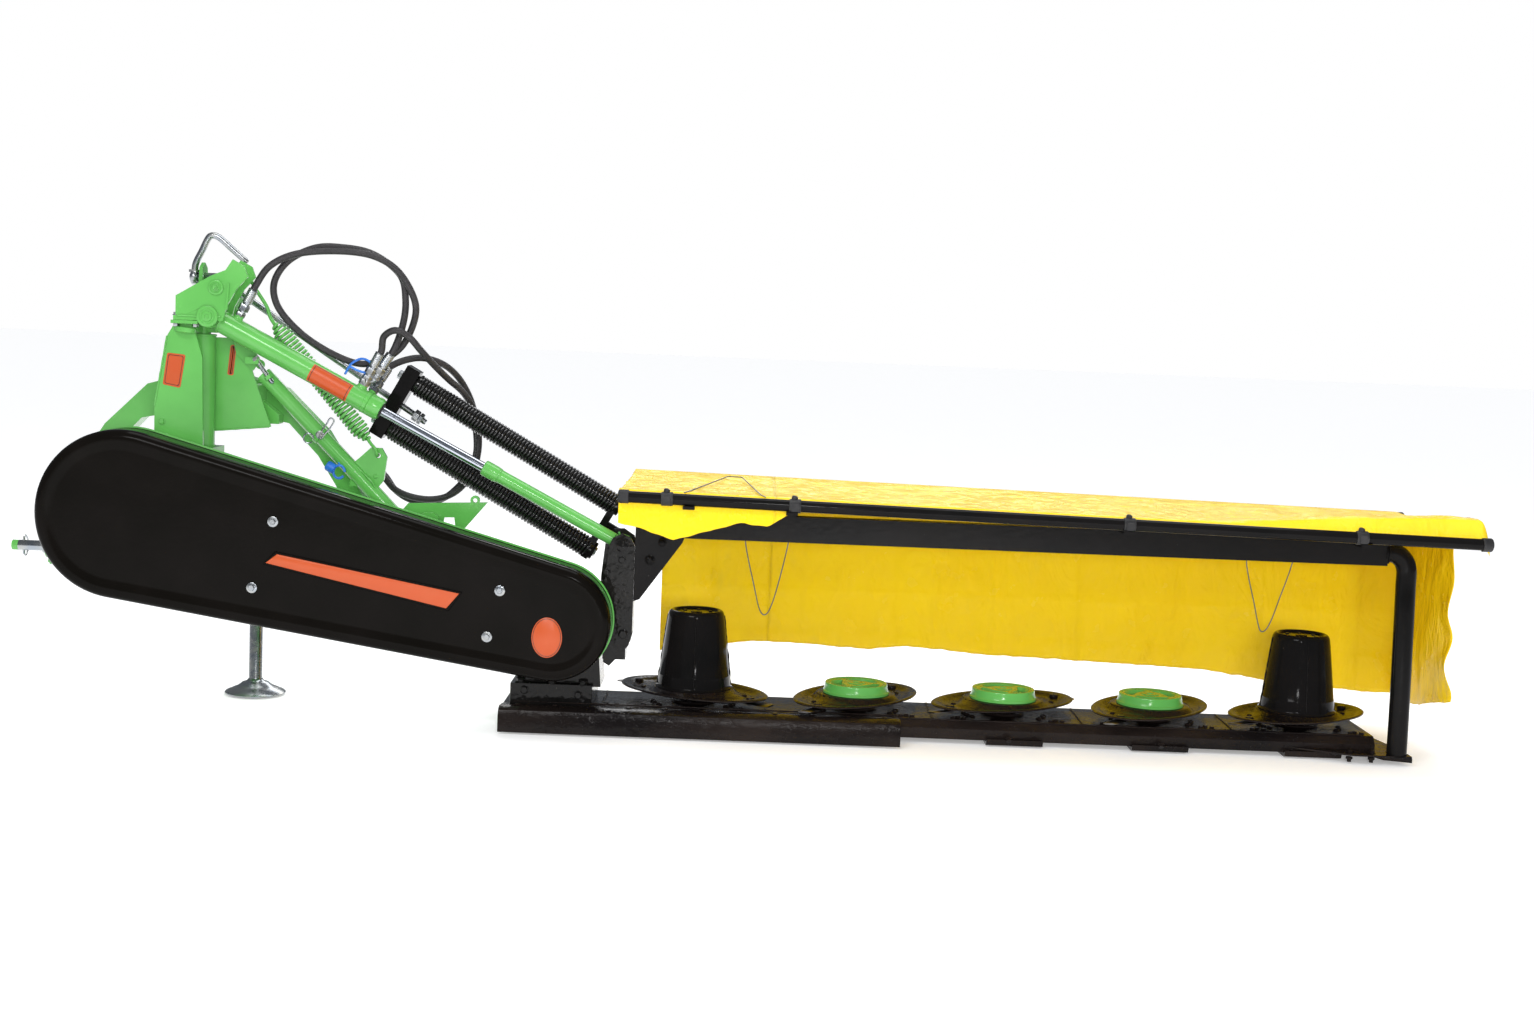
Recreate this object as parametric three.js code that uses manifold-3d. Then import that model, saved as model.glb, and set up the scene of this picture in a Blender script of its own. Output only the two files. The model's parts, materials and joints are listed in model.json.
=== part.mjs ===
// Rear-mounted disc mower with belt drive, lift cylinder, folding bar and canopy.
// Millimetres, +X along the bar to its outer end, +Y toward the tractor, +Z up.
import * as THREE from 'three';
import { mergeVertices } from 'three/addons/utils/BufferGeometryUtils.js';
import Module from 'manifold-3d';

const wasm = await Module();
wasm.setup();

// ---- Fits -----------------------------------------------------------------
const SEAT = 0.3;            // gap between two pieces that bear on each other
const PIN_FIT = 1.0;         // radial play of a pin in its hole
const SHAFT_FIT = 0.8;       // radial play round a turning shaft
const MOVING_GAP = 5.5;      // room kept between pieces that pass each other

// ---- Discs ----------------------------------------------------------------
const DISC_PITCH_INNER = 440;   // inner drum to first disc
const DISC_PITCH = 400;         // every other disc
const DISC_COUNT = 5;
const DISC_ANGLES = [-35, 55, 35, 55, 35];   // degrees from the bar line
const DISC_LONG = 226;          // half length of the oval
const DISC_SHORT = 138;         // half width of the oval
const DISC_TOP = 99.7;          // raised centre of each disc
const DISC_HUB_RADIUS = 36;
const KNIFE_LENGTH = 86;
const KNIFE_WIDTH = 40;
const KNIFE_THICK = 4;
const KNIFE_Z = 79;              // underside of the knives
const KNIFE_BOLT_RADIUS = 189;  // knife bolt circle
const CAP_RADIUS_BOTTOM = 90.3;
const CAP_RADIUS_TOP = 84.2;
const CAP_HEIGHT = 27.9;
const DRUM_RADIUS_BOTTOM = 100.9;
const DRUM_RADIUS_TOP = 73;
const DRUM_HEIGHT = 210;
const discX = (index) => (index === 0 ? 0 : DISC_PITCH_INNER + DISC_PITCH * (index - 1));

// ---- Cutter bar -----------------------------------------------------------
const BAR_INNER = -500;
const BAR_OVERHANG = 160;         // bar past the outer disc's centre
const BAR_OUTER = discX(DISC_COUNT - 1) + BAR_OVERHANG;
const BAR_REAR = -150;
const BAR_FRONT = 170;
const BAR_BOTTOM = 12;
const BAR_TOP = 60;
const HUB_SEAT_HEIGHT = 6;
const LIP_OUTER = 548;
const LIP_REAR = -240;
const LIP_TOP = 70;
const LIP_WALL = 6;
const SKID_PLACES = [[0, 0], [2, 15], [3, 0], [4, 5]];   // disc above, and offset from it
const SKID_WIDTH = 150;
const SKID_THICK = 8;
const SHOE_TOP = 22;                 // outer shoe plate, carries the canopy leg

// ---- Belt drive and lift axis ---------------------------------------------
const DRIVE_AXIS = [-1469, 537];     // input shaft, x and z
const LIFT_AXIS = [-362, 300];       // bar lifts round the small pulley
const STUB_END = 64;                 // free end of the splined stub
const GUARD_LARGE = 217;
const GUARD_SMALL = 150;
const GUARD_FRONT = -196.3;
const GUARD_REAR = -300;
const GUARD_WALL = 4;
const BACK_PLATE_EDGE = 4;           // back plate stands out past the cover
const BACK_PLATE = [-196, -190];
const ARM_DEPTH = [-190, -130];
const ARM_HEIGHT = 88;
const GEARBOX_DEPTH = [-152, 40];
const GEARBOX_RADIUS = 104;
const GEARBOX_FLANGE = [-480, -264];
const NECK_BOTTOM = 110;
const PULLEY_LARGE = 150;
const PULLEY_SMALL = 88;
const PULLEY_DEPTH = [-286, -218];
const INPUT_RADIUS = 28;
const SPIGOT_RADIUS = 60;

// ---- Planes across the machine --------------------------------------------
const CYLINDER_PLANE = -105;
const STRUT_PLANE = -42;
const FLOAT_PLANE = 32;
const HOOK_DEPTH = [-14, -6];
const LEVER_NEAR = [-146, -138];     // lever plates either side of the cylinder eye
const LEVER_FAR = [-72, -64];
const LEVER_OUTER = -164;            // face that carries the canopy bracket

const CHEEK_NEAR = [-148, -140];     // swivel plates either side of the cylinder base
const CHEEK_FAR = [-70, -62];

// ---- Swing post and hitch -------------------------------------------------
const SWING_AXIS = [-1327, -50];     // upright breakaway axis, x and y
const PIVOT_TUBE_RADIUS = 33;
const PIVOT_PIN_RADIUS = 20;
const PIVOT_TUBE_Z = [705, 1000];
const HITCH_CENTRE = -1325;
const HITCH_DEPTH = [70, 140];
const LOWER_PIN_Z = 400;
const LOWER_PIN_RADIUS = 14;
const TOP_PIN = [105, 1150];         // top link pin, y and z
const TOP_PIN_RADIUS = 12.5;
const STAND_AT = [-1230, 165];
const STAND_RADIUS = 18.5;
const STAND_FOOT_RADIUS = 83;
const STAND_TOP = 585;
const STAND_SLEEVE_Z = [330, 480];
const POST_TOP = 1035;
const POST_BOTTOM = 552;

// ---- Brace strut, breakaway spring and transport hook ---------------------
const STRUT_TOP = [-1168, 900];
const STRUT_FOOT = [-812, 537];
const STRUT_RADIUS = 21;
const SHELF_TOP = 470;               // strut foot stands on this shelf of the arm
const SPRING_TOP = [-1139, 1030];
const SPRING_BOTTOM = [-889, 738];
const SPRING_RADIUS = 26;
const SPRING_HOLE = [-860, 696];
const SPRING_HOLE_RADIUS = 7;
const SPRING_WIRE = 4.5;
const HOOK_PIN = [-725, 520];
const HOOK_PIN_RADIUS = 8;

// ---- Lift cylinder --------------------------------------------------------
const CYL_BASE = [-1289, 1047];
const CYL_EYE = [-198, 490];
const BARREL_RADIUS = 29;
const BARREL_LENGTH = 470;
const ROD_RADIUS = 12.5;
const EXTENSION_RADIUS = 19;
const ROD_START = 430;               // inner end of the rod, inside the barrel
const EXTENSION_START = 806;
const CYL_PIN_RADIUS = 14;
const BASE_PORT = 62;                // hose ports, distances from the base pin
const ROD_PORT = 428;

// ---- Float springs --------------------------------------------------------
const FLOAT_BASE = [-1268, 1122];
const FLOAT_EYE = [-222, 497];
const HANGER_AT = [-831, 838];
const SLEEVE_RADIUS = 31;
const SLEEVE_SPREAD = 69;
const FLOAT_ROD_RADIUS = 9;
const FLOAT_PIN_RADIUS = 12;

// ---- Canopy ---------------------------------------------------------------
const BEAM_INNER = -45;
const BEAM_OUTER = BAR_OUTER;
const BEAM_DEPTH = [-185, -145];
const BEAM_Z = [522, 589];
const LEG_RADIUS = 26;
const LEG_X = BAR_OUTER + 56;
const HOOP_RADIUS = 15;
const HOOP_REAR = -345;
const HOOP_FRONT = 345;
const HOOP_X = [-190, BAR_OUTER + 201];
const HOOP_Z = [640, 603];
const CROSS_ARM_X = [BEAM_INNER + 25, 240, 1090, BEAM_OUTER - 110];
const FULL_ARMS_FROM = 200;      // nearer arms reach the rear hoop only
const SHEET_THICK = 4;
const SKIRT_BOTTOM = 130;
const SKIRT_INNER = -113;        // front skirt starts here, past the folding head
const END_SKIRT_REAR = -80;      // outer end skirt runs from the front hoop to here
const REAR_HEM = 40;             // drop of the rear edge below its hoop

// ---- Hoses ----------------------------------------------------------------
const HOSE_RADIUS = 9;
const COUPLER_AT = [-905, 0, 634];
const COUPLER_Y = [96, 124];
const COUPLER_RADIUS = 12;
const COUPLER_LENGTH = 36;

// ---- Materials ------------------------------------------------------------
const paint = (colour, roughness, metalness) =>
  new THREE.MeshStandardMaterial({ color: colour, roughness, metalness });
const GREEN = paint(0x4cb944, 0.35, 0.0);
const BLACK = paint(0x141416, 0.3, 0.0);
const ZINC = paint(0xa9b2bd, 0.35, 1.0);
const CHROME = paint(0xd4dae2, 0.1, 1.0);
const STEEL = paint(0x70757a, 0.4, 1.0);
const SHEET = paint(0xf5d51c, 0.5, 0.0);
const RUBBER = paint(0x1a1a1b, 0.7, 0.0);
const SLEEVE = paint(0x0f0f10, 0.45, 0.0);

// ---- Shape helpers --------------------------------------------------------
function solid(geometry) {
  const bare = geometry.index ? geometry.toNonIndexed() : geometry.clone();
  for (const name of Object.keys(bare.attributes)) {
    if (name !== 'position') bare.deleteAttribute(name);
  }
  const merged = mergeVertices(bare, 1e-4);
  const mesh = new wasm.Mesh({
    numProp: 3,
    vertProperties: new Float32Array(merged.attributes.position.array),
    triVerts: new Uint32Array(merged.index.array),
  });
  mesh.merge();
  return new wasm.Manifold(mesh);
}

const join = (...parts) => parts.reduce((all, part) => all.add(part));
const cut = (body, ...tools) => tools.reduce((all, tool) => all.subtract(tool), body);

function box([x0, x1], [y0, y1], [z0, z1]) {
  const geometry = new THREE.BoxGeometry(x1 - x0, y1 - y0, z1 - z0);
  geometry.translate((x0 + x1) / 2, (y0 + y1) / 2, (z0 + z1) / 2);
  return solid(geometry);
}

function rodGeometry(from, to, radius, sides = 16, radiusTo = radius) {
  const a = new THREE.Vector3(...from);
  const b = new THREE.Vector3(...to);
  const along = b.clone().sub(a);
  const geometry = new THREE.CylinderGeometry(radiusTo, radius, along.length(), sides);
  const turn = new THREE.Quaternion().setFromUnitVectors(
    new THREE.Vector3(0, 1, 0), along.clone().normalize());
  geometry.applyQuaternion(turn);
  const middle = a.add(b).multiplyScalar(0.5);
  geometry.translate(middle.x, middle.y, middle.z);
  return geometry;
}
const rod = (from, to, radius, sides, radiusTo) =>
  solid(rodGeometry(from, to, radius, sides, radiusTo));
const crossRod = ([x, z], [y0, y1], radius, sides = 20) =>
  rod([x, y0, z], [x, y1, z], radius, sides);

// Flat plate with its face in the X-Z plane, between two depths.
function plate(outline, [y0, y1]) {
  const shape = outline instanceof THREE.Shape
    ? outline : new THREE.Shape(outline.map(([x, z]) => new THREE.Vector2(x, z)));
  const geometry = new THREE.ExtrudeGeometry(shape,
    { depth: y1 - y0, bevelEnabled: false, curveSegments: 16 });
  geometry.rotateX(Math.PI / 2);
  geometry.translate(0, y1, 0);
  return solid(geometry);
}

// Flat plate lying in the X-Y plane, between two heights.
function slab(outline, [z0, z1]) {
  const shape = new THREE.Shape(outline.map(([x, y]) => new THREE.Vector2(x, y)));
  const geometry = new THREE.ExtrudeGeometry(shape, { depth: z1 - z0, bevelEnabled: false });
  geometry.translate(0, 0, z0);
  return solid(geometry);
}

// Section in the Y-Z plane drawn out along X.
function section(outline, [x0, x1]) {
  const shape = new THREE.Shape(outline.map(([y, z]) => new THREE.Vector2(y, z)));
  const geometry = new THREE.ExtrudeGeometry(shape, { depth: x1 - x0, bevelEnabled: false });
  geometry.applyMatrix4(new THREE.Matrix4().makeBasis(
    new THREE.Vector3(0, 1, 0), new THREE.Vector3(0, 0, 1), new THREE.Vector3(1, 0, 0)));
  geometry.translate(x0, 0, 0);
  return solid(geometry);
}

// Outline round two circles of different radius, joined by their tangents.
function beltOutline(large, largeRadius, small, smallRadius) {
  const dx = small[0] - large[0];
  const dz = small[1] - large[1];
  const slope = Math.atan2(dz, dx);
  const spread = Math.acos((largeRadius - smallRadius) / Math.hypot(dx, dz));
  const shape = new THREE.Shape();
  shape.absarc(large[0], large[1], largeRadius, slope + spread, slope - spread + 2 * Math.PI);
  shape.absarc(small[0], small[1], smallRadius, slope - spread, slope + spread);
  return shape;
}

// Profile of [radius, height] pairs turned round an upright axis at x, y.
function turned(profile, x, y, sides = 32) {
  const points = profile.map(([r, z]) => new THREE.Vector2(r, z));
  const geometry = new THREE.LatheGeometry(points, sides);
  geometry.rotateX(Math.PI / 2);
  geometry.translate(x, y, 0);
  return solid(geometry);
}

// Profile of [radius, depth] pairs turned round an axis along Y at x, z.
function turnedAcross(profile, [x, z], sides = 32) {
  const points = profile.map(([r, y]) => new THREE.Vector2(r, y));
  const geometry = new THREE.LatheGeometry(points, sides);
  geometry.translate(x, 0, z);
  return solid(geometry);
}

// Round bar or tube following a smooth route.
function bentRod(route, radius, sides = 10, steps = 24, closed = false) {
  const path = new THREE.CatmullRomCurve3(
    route.map((point) => new THREE.Vector3(...point)), closed, 'centripetal');
  const shape = new THREE.Shape();
  for (let i = 0; i < sides; i += 1) {
    const angle = 2 * Math.PI * i / sides;
    const point = [radius * Math.cos(angle), radius * Math.sin(angle)];
    if (i === 0) shape.moveTo(...point);
    else shape.lineTo(...point);
  }
  shape.closePath();
  return solid(new THREE.ExtrudeGeometry(shape,
    { steps, extrudePath: path, bevelEnabled: false, curveSegments: 1 }));
}

// Outline points given from an anchor.
const from = ([x, z], offsets) => offsets.map(([dx, dz]) => [x + dx, z + dz]);

function turnAbout(body, [x, y], degrees) {
  return body.translate([-x, -y, 0]).rotate([0, 0, degrees]).translate([x, y, 0]);
}

const model = new THREE.Group();
model.name = 'disc_mower';

function add(name, body, material) {
  const mesh = body.getMesh();
  const geometry = new THREE.BufferGeometry();
  const positions = [];
  for (let i = 0; i < mesh.triVerts.length; i += 1) {
    const at = mesh.triVerts[i] * mesh.numProp;
    positions.push(mesh.vertProperties[at], mesh.vertProperties[at + 1],
      mesh.vertProperties[at + 2]);
  }
  geometry.setAttribute('position', new THREE.Float32BufferAttribute(positions, 3));
  geometry.computeVertexNormals();
  const item = new THREE.Mesh(geometry, material);
  item.name = name;
  model.add(item);
}

// ---- Hitch frame ----------------------------------------------------------
function hitchFrame() {
  const half = [[0, 890], [80, 888], [185, 858], [300, 745], [385, 610], [440, 500], [452, 360]];
  const inner = [[380, 360], [372, 480], [330, 600], [280, 680], [200, 765], [80, 790], [0, 792]];
  const right = [...half, ...inner].map(([x, z]) => [HITCH_CENTRE + x, z]);
  const left = [...half, ...inner].map(([x, z]) => [HITCH_CENTRE - x, z]).reverse();
  const arch = join(plate(right, HITCH_DEPTH), plate(left, HITCH_DEPTH));
  const beam = box([HITCH_CENTRE - 452, HITCH_CENTRE + 452], [75, 142], [360, 440]);
  const pins = rod([HITCH_CENTRE - 560, 105, LOWER_PIN_Z], [HITCH_CENTRE + 560, 105, LOWER_PIN_Z],
    LOWER_PIN_RADIUS, 20);
  const collars = rod([HITCH_CENTRE - 464, 105, LOWER_PIN_Z],
    [HITCH_CENTRE + 464, 105, LOWER_PIN_Z], 32, 20);
  const [pinY, pinZ] = TOP_PIN;
  const mastSide = [[pinY - 33, 880], [pinY + 33, 880], [pinY + 33, pinZ - 40],
    [pinY + 23, pinZ + 26], [pinY, pinZ + 40], [pinY - 23, pinZ + 26], [pinY - 33, pinZ - 40]];
  const mast = join(section(mastSide, [HITCH_CENTRE - 52, HITCH_CENTRE - 42]),
    section(mastSide, [HITCH_CENTRE + 42, HITCH_CENTRE + 52]));
  const sleeve = rod([...STAND_AT, STAND_SLEEVE_Z[0]], [...STAND_AT, STAND_SLEEVE_Z[1]],
    STAND_RADIUS + 7, 20);
  const whole = join(arch, beam, collars, pins, mast, sleeve);
  const pinHole = rod([HITCH_CENTRE - 80, ...TOP_PIN], [HITCH_CENTRE + 80, ...TOP_PIN],
    TOP_PIN_RADIUS + PIN_FIT / 2, 20);
  const standHole = rod([...STAND_AT, STAND_SLEEVE_Z[0] - 30],
    [...STAND_AT, STAND_SLEEVE_Z[1] + 20], STAND_RADIUS + PIN_FIT, 20);
  return cut(whole, pinHole, standHole);
}
add('hitch_frame', hitchFrame(), GREEN);

function mastFrame() {
  const [x, y] = SWING_AXIS;
  const tube = turned([[PIVOT_PIN_RADIUS + SHAFT_FIT, PIVOT_TUBE_Z[0]],
    [PIVOT_TUBE_RADIUS, PIVOT_TUBE_Z[0]], [PIVOT_TUBE_RADIUS, PIVOT_TUBE_Z[1]],
    [PIVOT_PIN_RADIUS + SHAFT_FIT, PIVOT_TUBE_Z[1]],
    [PIVOT_PIN_RADIUS + SHAFT_FIT, PIVOT_TUBE_Z[0]]], x, y, 24);
  const near = PIVOT_TUBE_RADIUS - 8;
  const side = plate([[x + near, 745], [x + 177, 760], [x + 105, 965], [x + 70, 992],
    [x + near, 992]], [-32, -24]);
  const core = box([x + near - 3, x + 140], [-28, HITCH_DEPTH[0] - SEAT], [765, 872]);
  const gusset = plate([[x + 138, 765], [x + 186, 765], [x + 186, 790], [x + 100, 858],
    [x + 100, 765]], [20, HITCH_DEPTH[0] - SEAT]);
  return join(tube, side, core, gusset);
}
add('mast_frame', mastFrame(), GREEN);

function topLinkPin() {
  const [y, z] = TOP_PIN;
  const shank = rod([HITCH_CENTRE - 78, y, z], [HITCH_CENTRE + 74, y, z], TOP_PIN_RADIUS, 20);
  const collar = rod([HITCH_CENTRE - 78, y, z], [HITCH_CENTRE - 62, y, z], 21, 20);
  const handle = bentRod([[HITCH_CENTRE - 70, y, z + 8], [HITCH_CENTRE - 68, y, z + 34],
    [HITCH_CENTRE - 38, y, z + 102], [HITCH_CENTRE - 22, y, z + 116],
    [HITCH_CENTRE, y, z + 106], [HITCH_CENTRE + 66, y, z + 50]], 9.5, 8, 14);
  return join(shank, collar, handle);
}
add('top_link_pin', topLinkPin(), ZINC);

function parkingStand() {
  const [x, y] = STAND_AT;
  const foot = turned([[0, 0], [STAND_FOOT_RADIUS - 6, 0], [STAND_FOOT_RADIUS, 5],
    [STAND_FOOT_RADIUS - 8, 14], [50, 26], [STAND_RADIUS, 34], [0, 34]], x, y, 28);
  return join(foot, rod([x, y, 20], [x, y, STAND_TOP], STAND_RADIUS, 20));
}
add('parking_stand', parkingStand(), ZINC);

// ---- Swinging frame -------------------------------------------------------
function pivotPost() {
  const [x, y] = SWING_AXIS;
  const face = plate([[x - 66, POST_BOTTOM], [x + 27, POST_BOTTOM], [x + 20, 940], [x + 2, 1000],
    [x - 2, POST_TOP], [x - 48, POST_TOP], [x - 71, 995], [x - 103, 808]], [-128, -118]);
  const wing = plate([[x - 103, 700], [x - 93, 700], [x - 62, 990], [x - 71, 995], [x - 103, 808]],
    [-128, -86]);
  const head = slab([[x - 48, -128], [x - 2, -128], [x + 5, -62], [x + 40, -62], [x + 40, -14],
    [x - 48, -14]], [PIVOT_TUBE_Z[1] + 4, POST_TOP]);
  const foot = box([x - 60, x + 50], [-128, -14], [672, PIVOT_TUBE_Z[0] - SEAT]);
  const pin = rod([x, y, PIVOT_TUBE_Z[0] - 25], [x, y, PIVOT_TUBE_Z[1] + 30],
    PIVOT_PIN_RADIUS, 24);
  return join(face, wing, head, foot, pin);
}
add('pivot_post', pivotPost(), GREEN);

function swivelHead() {
  const low = POST_TOP + 1;
  const cheek = [[CYL_BASE[0] - 83, low], [CYL_BASE[0] + 39, low],
    ...from(CYL_BASE, [[49, 28], [74, 73]]),
    ...from(FLOAT_BASE, [[82, 30], [72, 58], [42, 74], [24, 46], [-14, 30]]),
    [CYL_BASE[0] - 83, CYL_BASE[1] + 51]];
  const [x, y] = SWING_AXIS;
  const base = slab([[x - 51, CHEEK_NEAR[0]], [x - 1, CHEEK_NEAR[0]], [x - 1, y - 20],
    [x + 82, y - 20], [x + 82, y + 20], [x - 51, y + 20]], [POST_TOP + SEAT, POST_TOP + 12]);
  const bosses = join(crossRod(CYL_BASE, [CHEEK_NEAR[0] - 5, CHEEK_NEAR[1] - 2], 28),
    crossRod(FLOAT_BASE, [CHEEK_NEAR[0] - 3, CHEEK_NEAR[1] - 2], 20));
  const pins = join(crossRod(CYL_BASE, [CHEEK_NEAR[1] - 4, CHEEK_FAR[0] + 4], CYL_PIN_RADIUS, 16),
    crossRod(FLOAT_BASE, [CHEEK_NEAR[1] - 4, FLOAT_PLANE + 20], FLOAT_PIN_RADIUS, 16));
  const lug = plate([[x + 65, POST_TOP + 7], [x + 79, POST_TOP + 7],
    ...from(STRUT_TOP, [[-8, 35], [-28, 8], [-72, 50]])], [STRUT_PLANE - 4.5, STRUT_PLANE + 4.5]);
  return join(base, plate(cheek, CHEEK_NEAR), plate(cheek, CHEEK_FAR), bosses, pins, lug);
}
add('swivel_head', swivelHead(), GREEN);

function carrierArm() {
  const outline = beltOutline(DRIVE_AXIS, GUARD_LARGE + BACK_PLATE_EDGE, LIFT_AXIS,
    GUARD_SMALL + BACK_PLATE_EDGE);
  const back = plate(outline, BACK_PLATE);
  const [lx, lz] = DRIVE_AXIS;
  const [sx, sz] = LIFT_AXIS;
  const length = Math.hypot(sx - lx, sz - lz);
  const nx = -(sz - lz) / length * ARM_HEIGHT / 2;
  const nz = (sx - lx) / length * ARM_HEIGHT / 2;
  const beam = plate([[lx - nx, lz - nz], [sx - nx, sz - nz], [sx + nx, sz + nz],
    [lx + nx, lz + nz]], ARM_DEPTH);
  const hub = crossRod(DRIVE_AXIS, [ARM_DEPTH[0], -60], INPUT_RADIUS + 34, 28);
  const ring = crossRod(LIFT_AXIS, [ARM_DEPTH[0], GEARBOX_DEPTH[0] - SEAT], 100, 32);
  const seat = box([SWING_AXIS[0] - 103, SWING_AXIS[0] + 32], [-150, -100],
    [490, POST_BOTTOM - SEAT]);
  const [hookX, hookZ] = HOOK_PIN;
  const shelf = box([hookX - 110, hookX + 35], [ARM_DEPTH[1], -10], [SHELF_TOP - 52, SHELF_TOP]);
  const tieEnd = hookX + 35;
  const yoke = plate([[tieEnd, sz + 36], [sx, sz - 40], [sx + 44, sz], [sx, sz + 44],
    [tieEnd, sz + 86]], [GEARBOX_DEPTH[1] + SEAT, GEARBOX_DEPTH[1] + 14]);
  const tie = box([tieEnd - 60, tieEnd], [ARM_DEPTH[1] - 10, GEARBOX_DEPTH[1] + 14],
    [sz + 36, sz + 86]);
  const lug = plate([[hookX - 27, SHELF_TOP - 10], [hookX + 27, SHELF_TOP - 10],
    ...from(HOOK_PIN, [[27, 15], [13, 28], [-13, 28], [-27, 15]])],
  [HOOK_DEPTH[0] - 20, HOOK_DEPTH[0] - 10]);
  const hookPin = crossRod(HOOK_PIN, [HOOK_DEPTH[0] - 16, HOOK_DEPTH[1] + 1],
    HOOK_PIN_RADIUS, 16);
  const whole = join(back, beam, hub, ring, seat, shelf, yoke, tie, lug, hookPin);
  return cut(whole, crossRod(DRIVE_AXIS, [-400, 0], INPUT_RADIUS + SHAFT_FIT, 24),
    crossRod(LIFT_AXIS, [-400, -150], SPIGOT_RADIUS + SHAFT_FIT, 28),
    crossRod(LIFT_AXIS, [GEARBOX_DEPTH[0] - SEAT, GEARBOX_DEPTH[1] - 10], GEARBOX_RADIUS + 6, 28));
}
add('carrier_arm', carrierArm(), GREEN);

function guardCover() {
  const outer = plate(beltOutline(DRIVE_AXIS, GUARD_LARGE, LIFT_AXIS, GUARD_SMALL),
    [GUARD_REAR, GUARD_FRONT]);
  const inner = plate(beltOutline(DRIVE_AXIS, GUARD_LARGE - GUARD_WALL, LIFT_AXIS,
    GUARD_SMALL - GUARD_WALL), [GUARD_REAR + GUARD_WALL, GUARD_FRONT + 10]);
  return cut(outer, inner);
}
add('belt_guard', guardCover(), BLACK);

function inputShaft() {
  const [front, rear] = PULLEY_DEPTH;
  return turnedAcross([[0, front], [PULLEY_LARGE, front], [PULLEY_LARGE, rear], [60, rear],
    [INPUT_RADIUS, rear + 6], [INPUT_RADIUS, 10], [17.5, 12], [17.5, STUB_END], [0, STUB_END]],
  DRIVE_AXIS, 28);
}
add('input_shaft', inputShaft(), STEEL);

function strut() {
  const y = STRUT_PLANE;
  const tube = rod([STRUT_TOP[0], y, STRUT_TOP[1]], [STRUT_FOOT[0], y, STRUT_FOOT[1]],
    STRUT_RADIUS, 20);
  const low = SHELF_TOP + SEAT;
  const foot = plate([...from(STRUT_FOOT, [[-26, 8], [-3, 23], [32, -9], [94, -37]]),
    [HOOK_PIN[0] + 25, low], [HOOK_PIN[0] - 100, low], [STRUT_FOOT[0] - 13, STRUT_FOOT[1] - 17]],
  [y - 16, y + 6]);
  const spring = plate(from(SPRING_HOLE, [[-70, -26], [-45, -4], [-20, 20], [10, 20], [24, -4],
    [17, -64], [3, -84], [-15, -96]]), [y - 5, y + 5]);
  const [holderX, , holderZ] = COUPLER_AT;
  const holder = join(box([holderX - 28, holderX - 6], [y - 8, COUPLER_Y[1] + 14],
    [holderZ - 22, holderZ - 11]), box([holderX - 27, holderX - 10], [y - 8, y + 8],
    [holderZ - 22, holderZ + 10]));
  const couplers = COUPLER_Y.map((at) => rod([holderX, at, holderZ],
    [holderX - COUPLER_LENGTH, at, holderZ], COUPLER_RADIUS, 14));
  const hole = crossRod(SPRING_HOLE, [y - 40, y + 40], SPRING_HOLE_RADIUS, 12);
  return cut(join(tube, foot, spring, holder, ...couplers), hole);
}
add('brace_strut', strut(), GREEN);

function breakawaySpring() {
  const y = CYLINDER_PLANE + BARREL_RADIUS + SPRING_RADIUS + MOVING_GAP;
  const [topX, topZ] = SPRING_TOP;
  const [bottomX, bottomZ] = SPRING_BOTTOM;
  const coil = rod([topX, y, topZ], [bottomX, y, bottomZ], SPRING_RADIUS, 16);
  const rodRadius = 5;
  const cheek = CHEEK_FAR[1] + SEAT + rodRadius;
  const upper = bentRod([[topX + 5, y, topZ - 6], [topX - 13, y, topZ + 20],
    [topX - 21, cheek + (y - cheek) / 3, topZ + 48], [FLOAT_BASE[0] + 84, cheek, FLOAT_BASE[1] - 6],
    [FLOAT_BASE[0] + 64, cheek, FLOAT_BASE[1] + 26]], rodRadius, 8, 12);
  const [holeX, holeZ] = SPRING_HOLE;
  const bearing = (SPRING_HOLE_RADIUS - SPRING_WIRE - SEAT) * Math.SQRT1_2;
  const lower = bentRod([[bottomX - 4, y, bottomZ + 7], [bottomX + 11, y - 8, bottomZ - 12],
    [holeX - 4, STRUT_PLANE - 18, holeZ + 16], [holeX - bearing, STRUT_PLANE - 14, holeZ + bearing],
    [holeX - bearing, STRUT_PLANE + 10, holeZ + bearing]], SPRING_WIRE, 8, 14);
  return join(coil, upper, lower);
}
add('breakaway_spring', breakawaySpring(), GREEN);

function transportHook() {
  const outline = from(HOOK_PIN, [[-78, 25], [-58, 49], [155, 59], [93, -16], [78, -21], [69, -5],
    [66, 15], [40, 14], [35, -15], [-15, -20], [-65, 0]]);
  const [eye] = from(HOOK_PIN, [[121, 63]]);
  const body = join(plate(outline, HOOK_DEPTH), crossRod(eye, HOOK_DEPTH, 13, 16));
  return cut(body, crossRod(HOOK_PIN, [-40, 10], HOOK_PIN_RADIUS + PIN_FIT, 16),
    crossRod(eye, [-40, 10], 6, 12));
}
add('transport_hook', transportHook(), GREEN);

// ---- Lift cylinder --------------------------------------------------------
const CYL_SPAN = Math.hypot(CYL_EYE[0] - CYL_BASE[0], CYL_EYE[1] - CYL_BASE[1]);
const cylinderPoint = (distance, side = 0, y = CYLINDER_PLANE) => {
  const ux = (CYL_EYE[0] - CYL_BASE[0]) / CYL_SPAN;
  const uz = (CYL_EYE[1] - CYL_BASE[1]) / CYL_SPAN;
  return [CYL_BASE[0] + ux * distance - uz * side, y, CYL_BASE[1] + uz * distance + ux * side];
};

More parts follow.
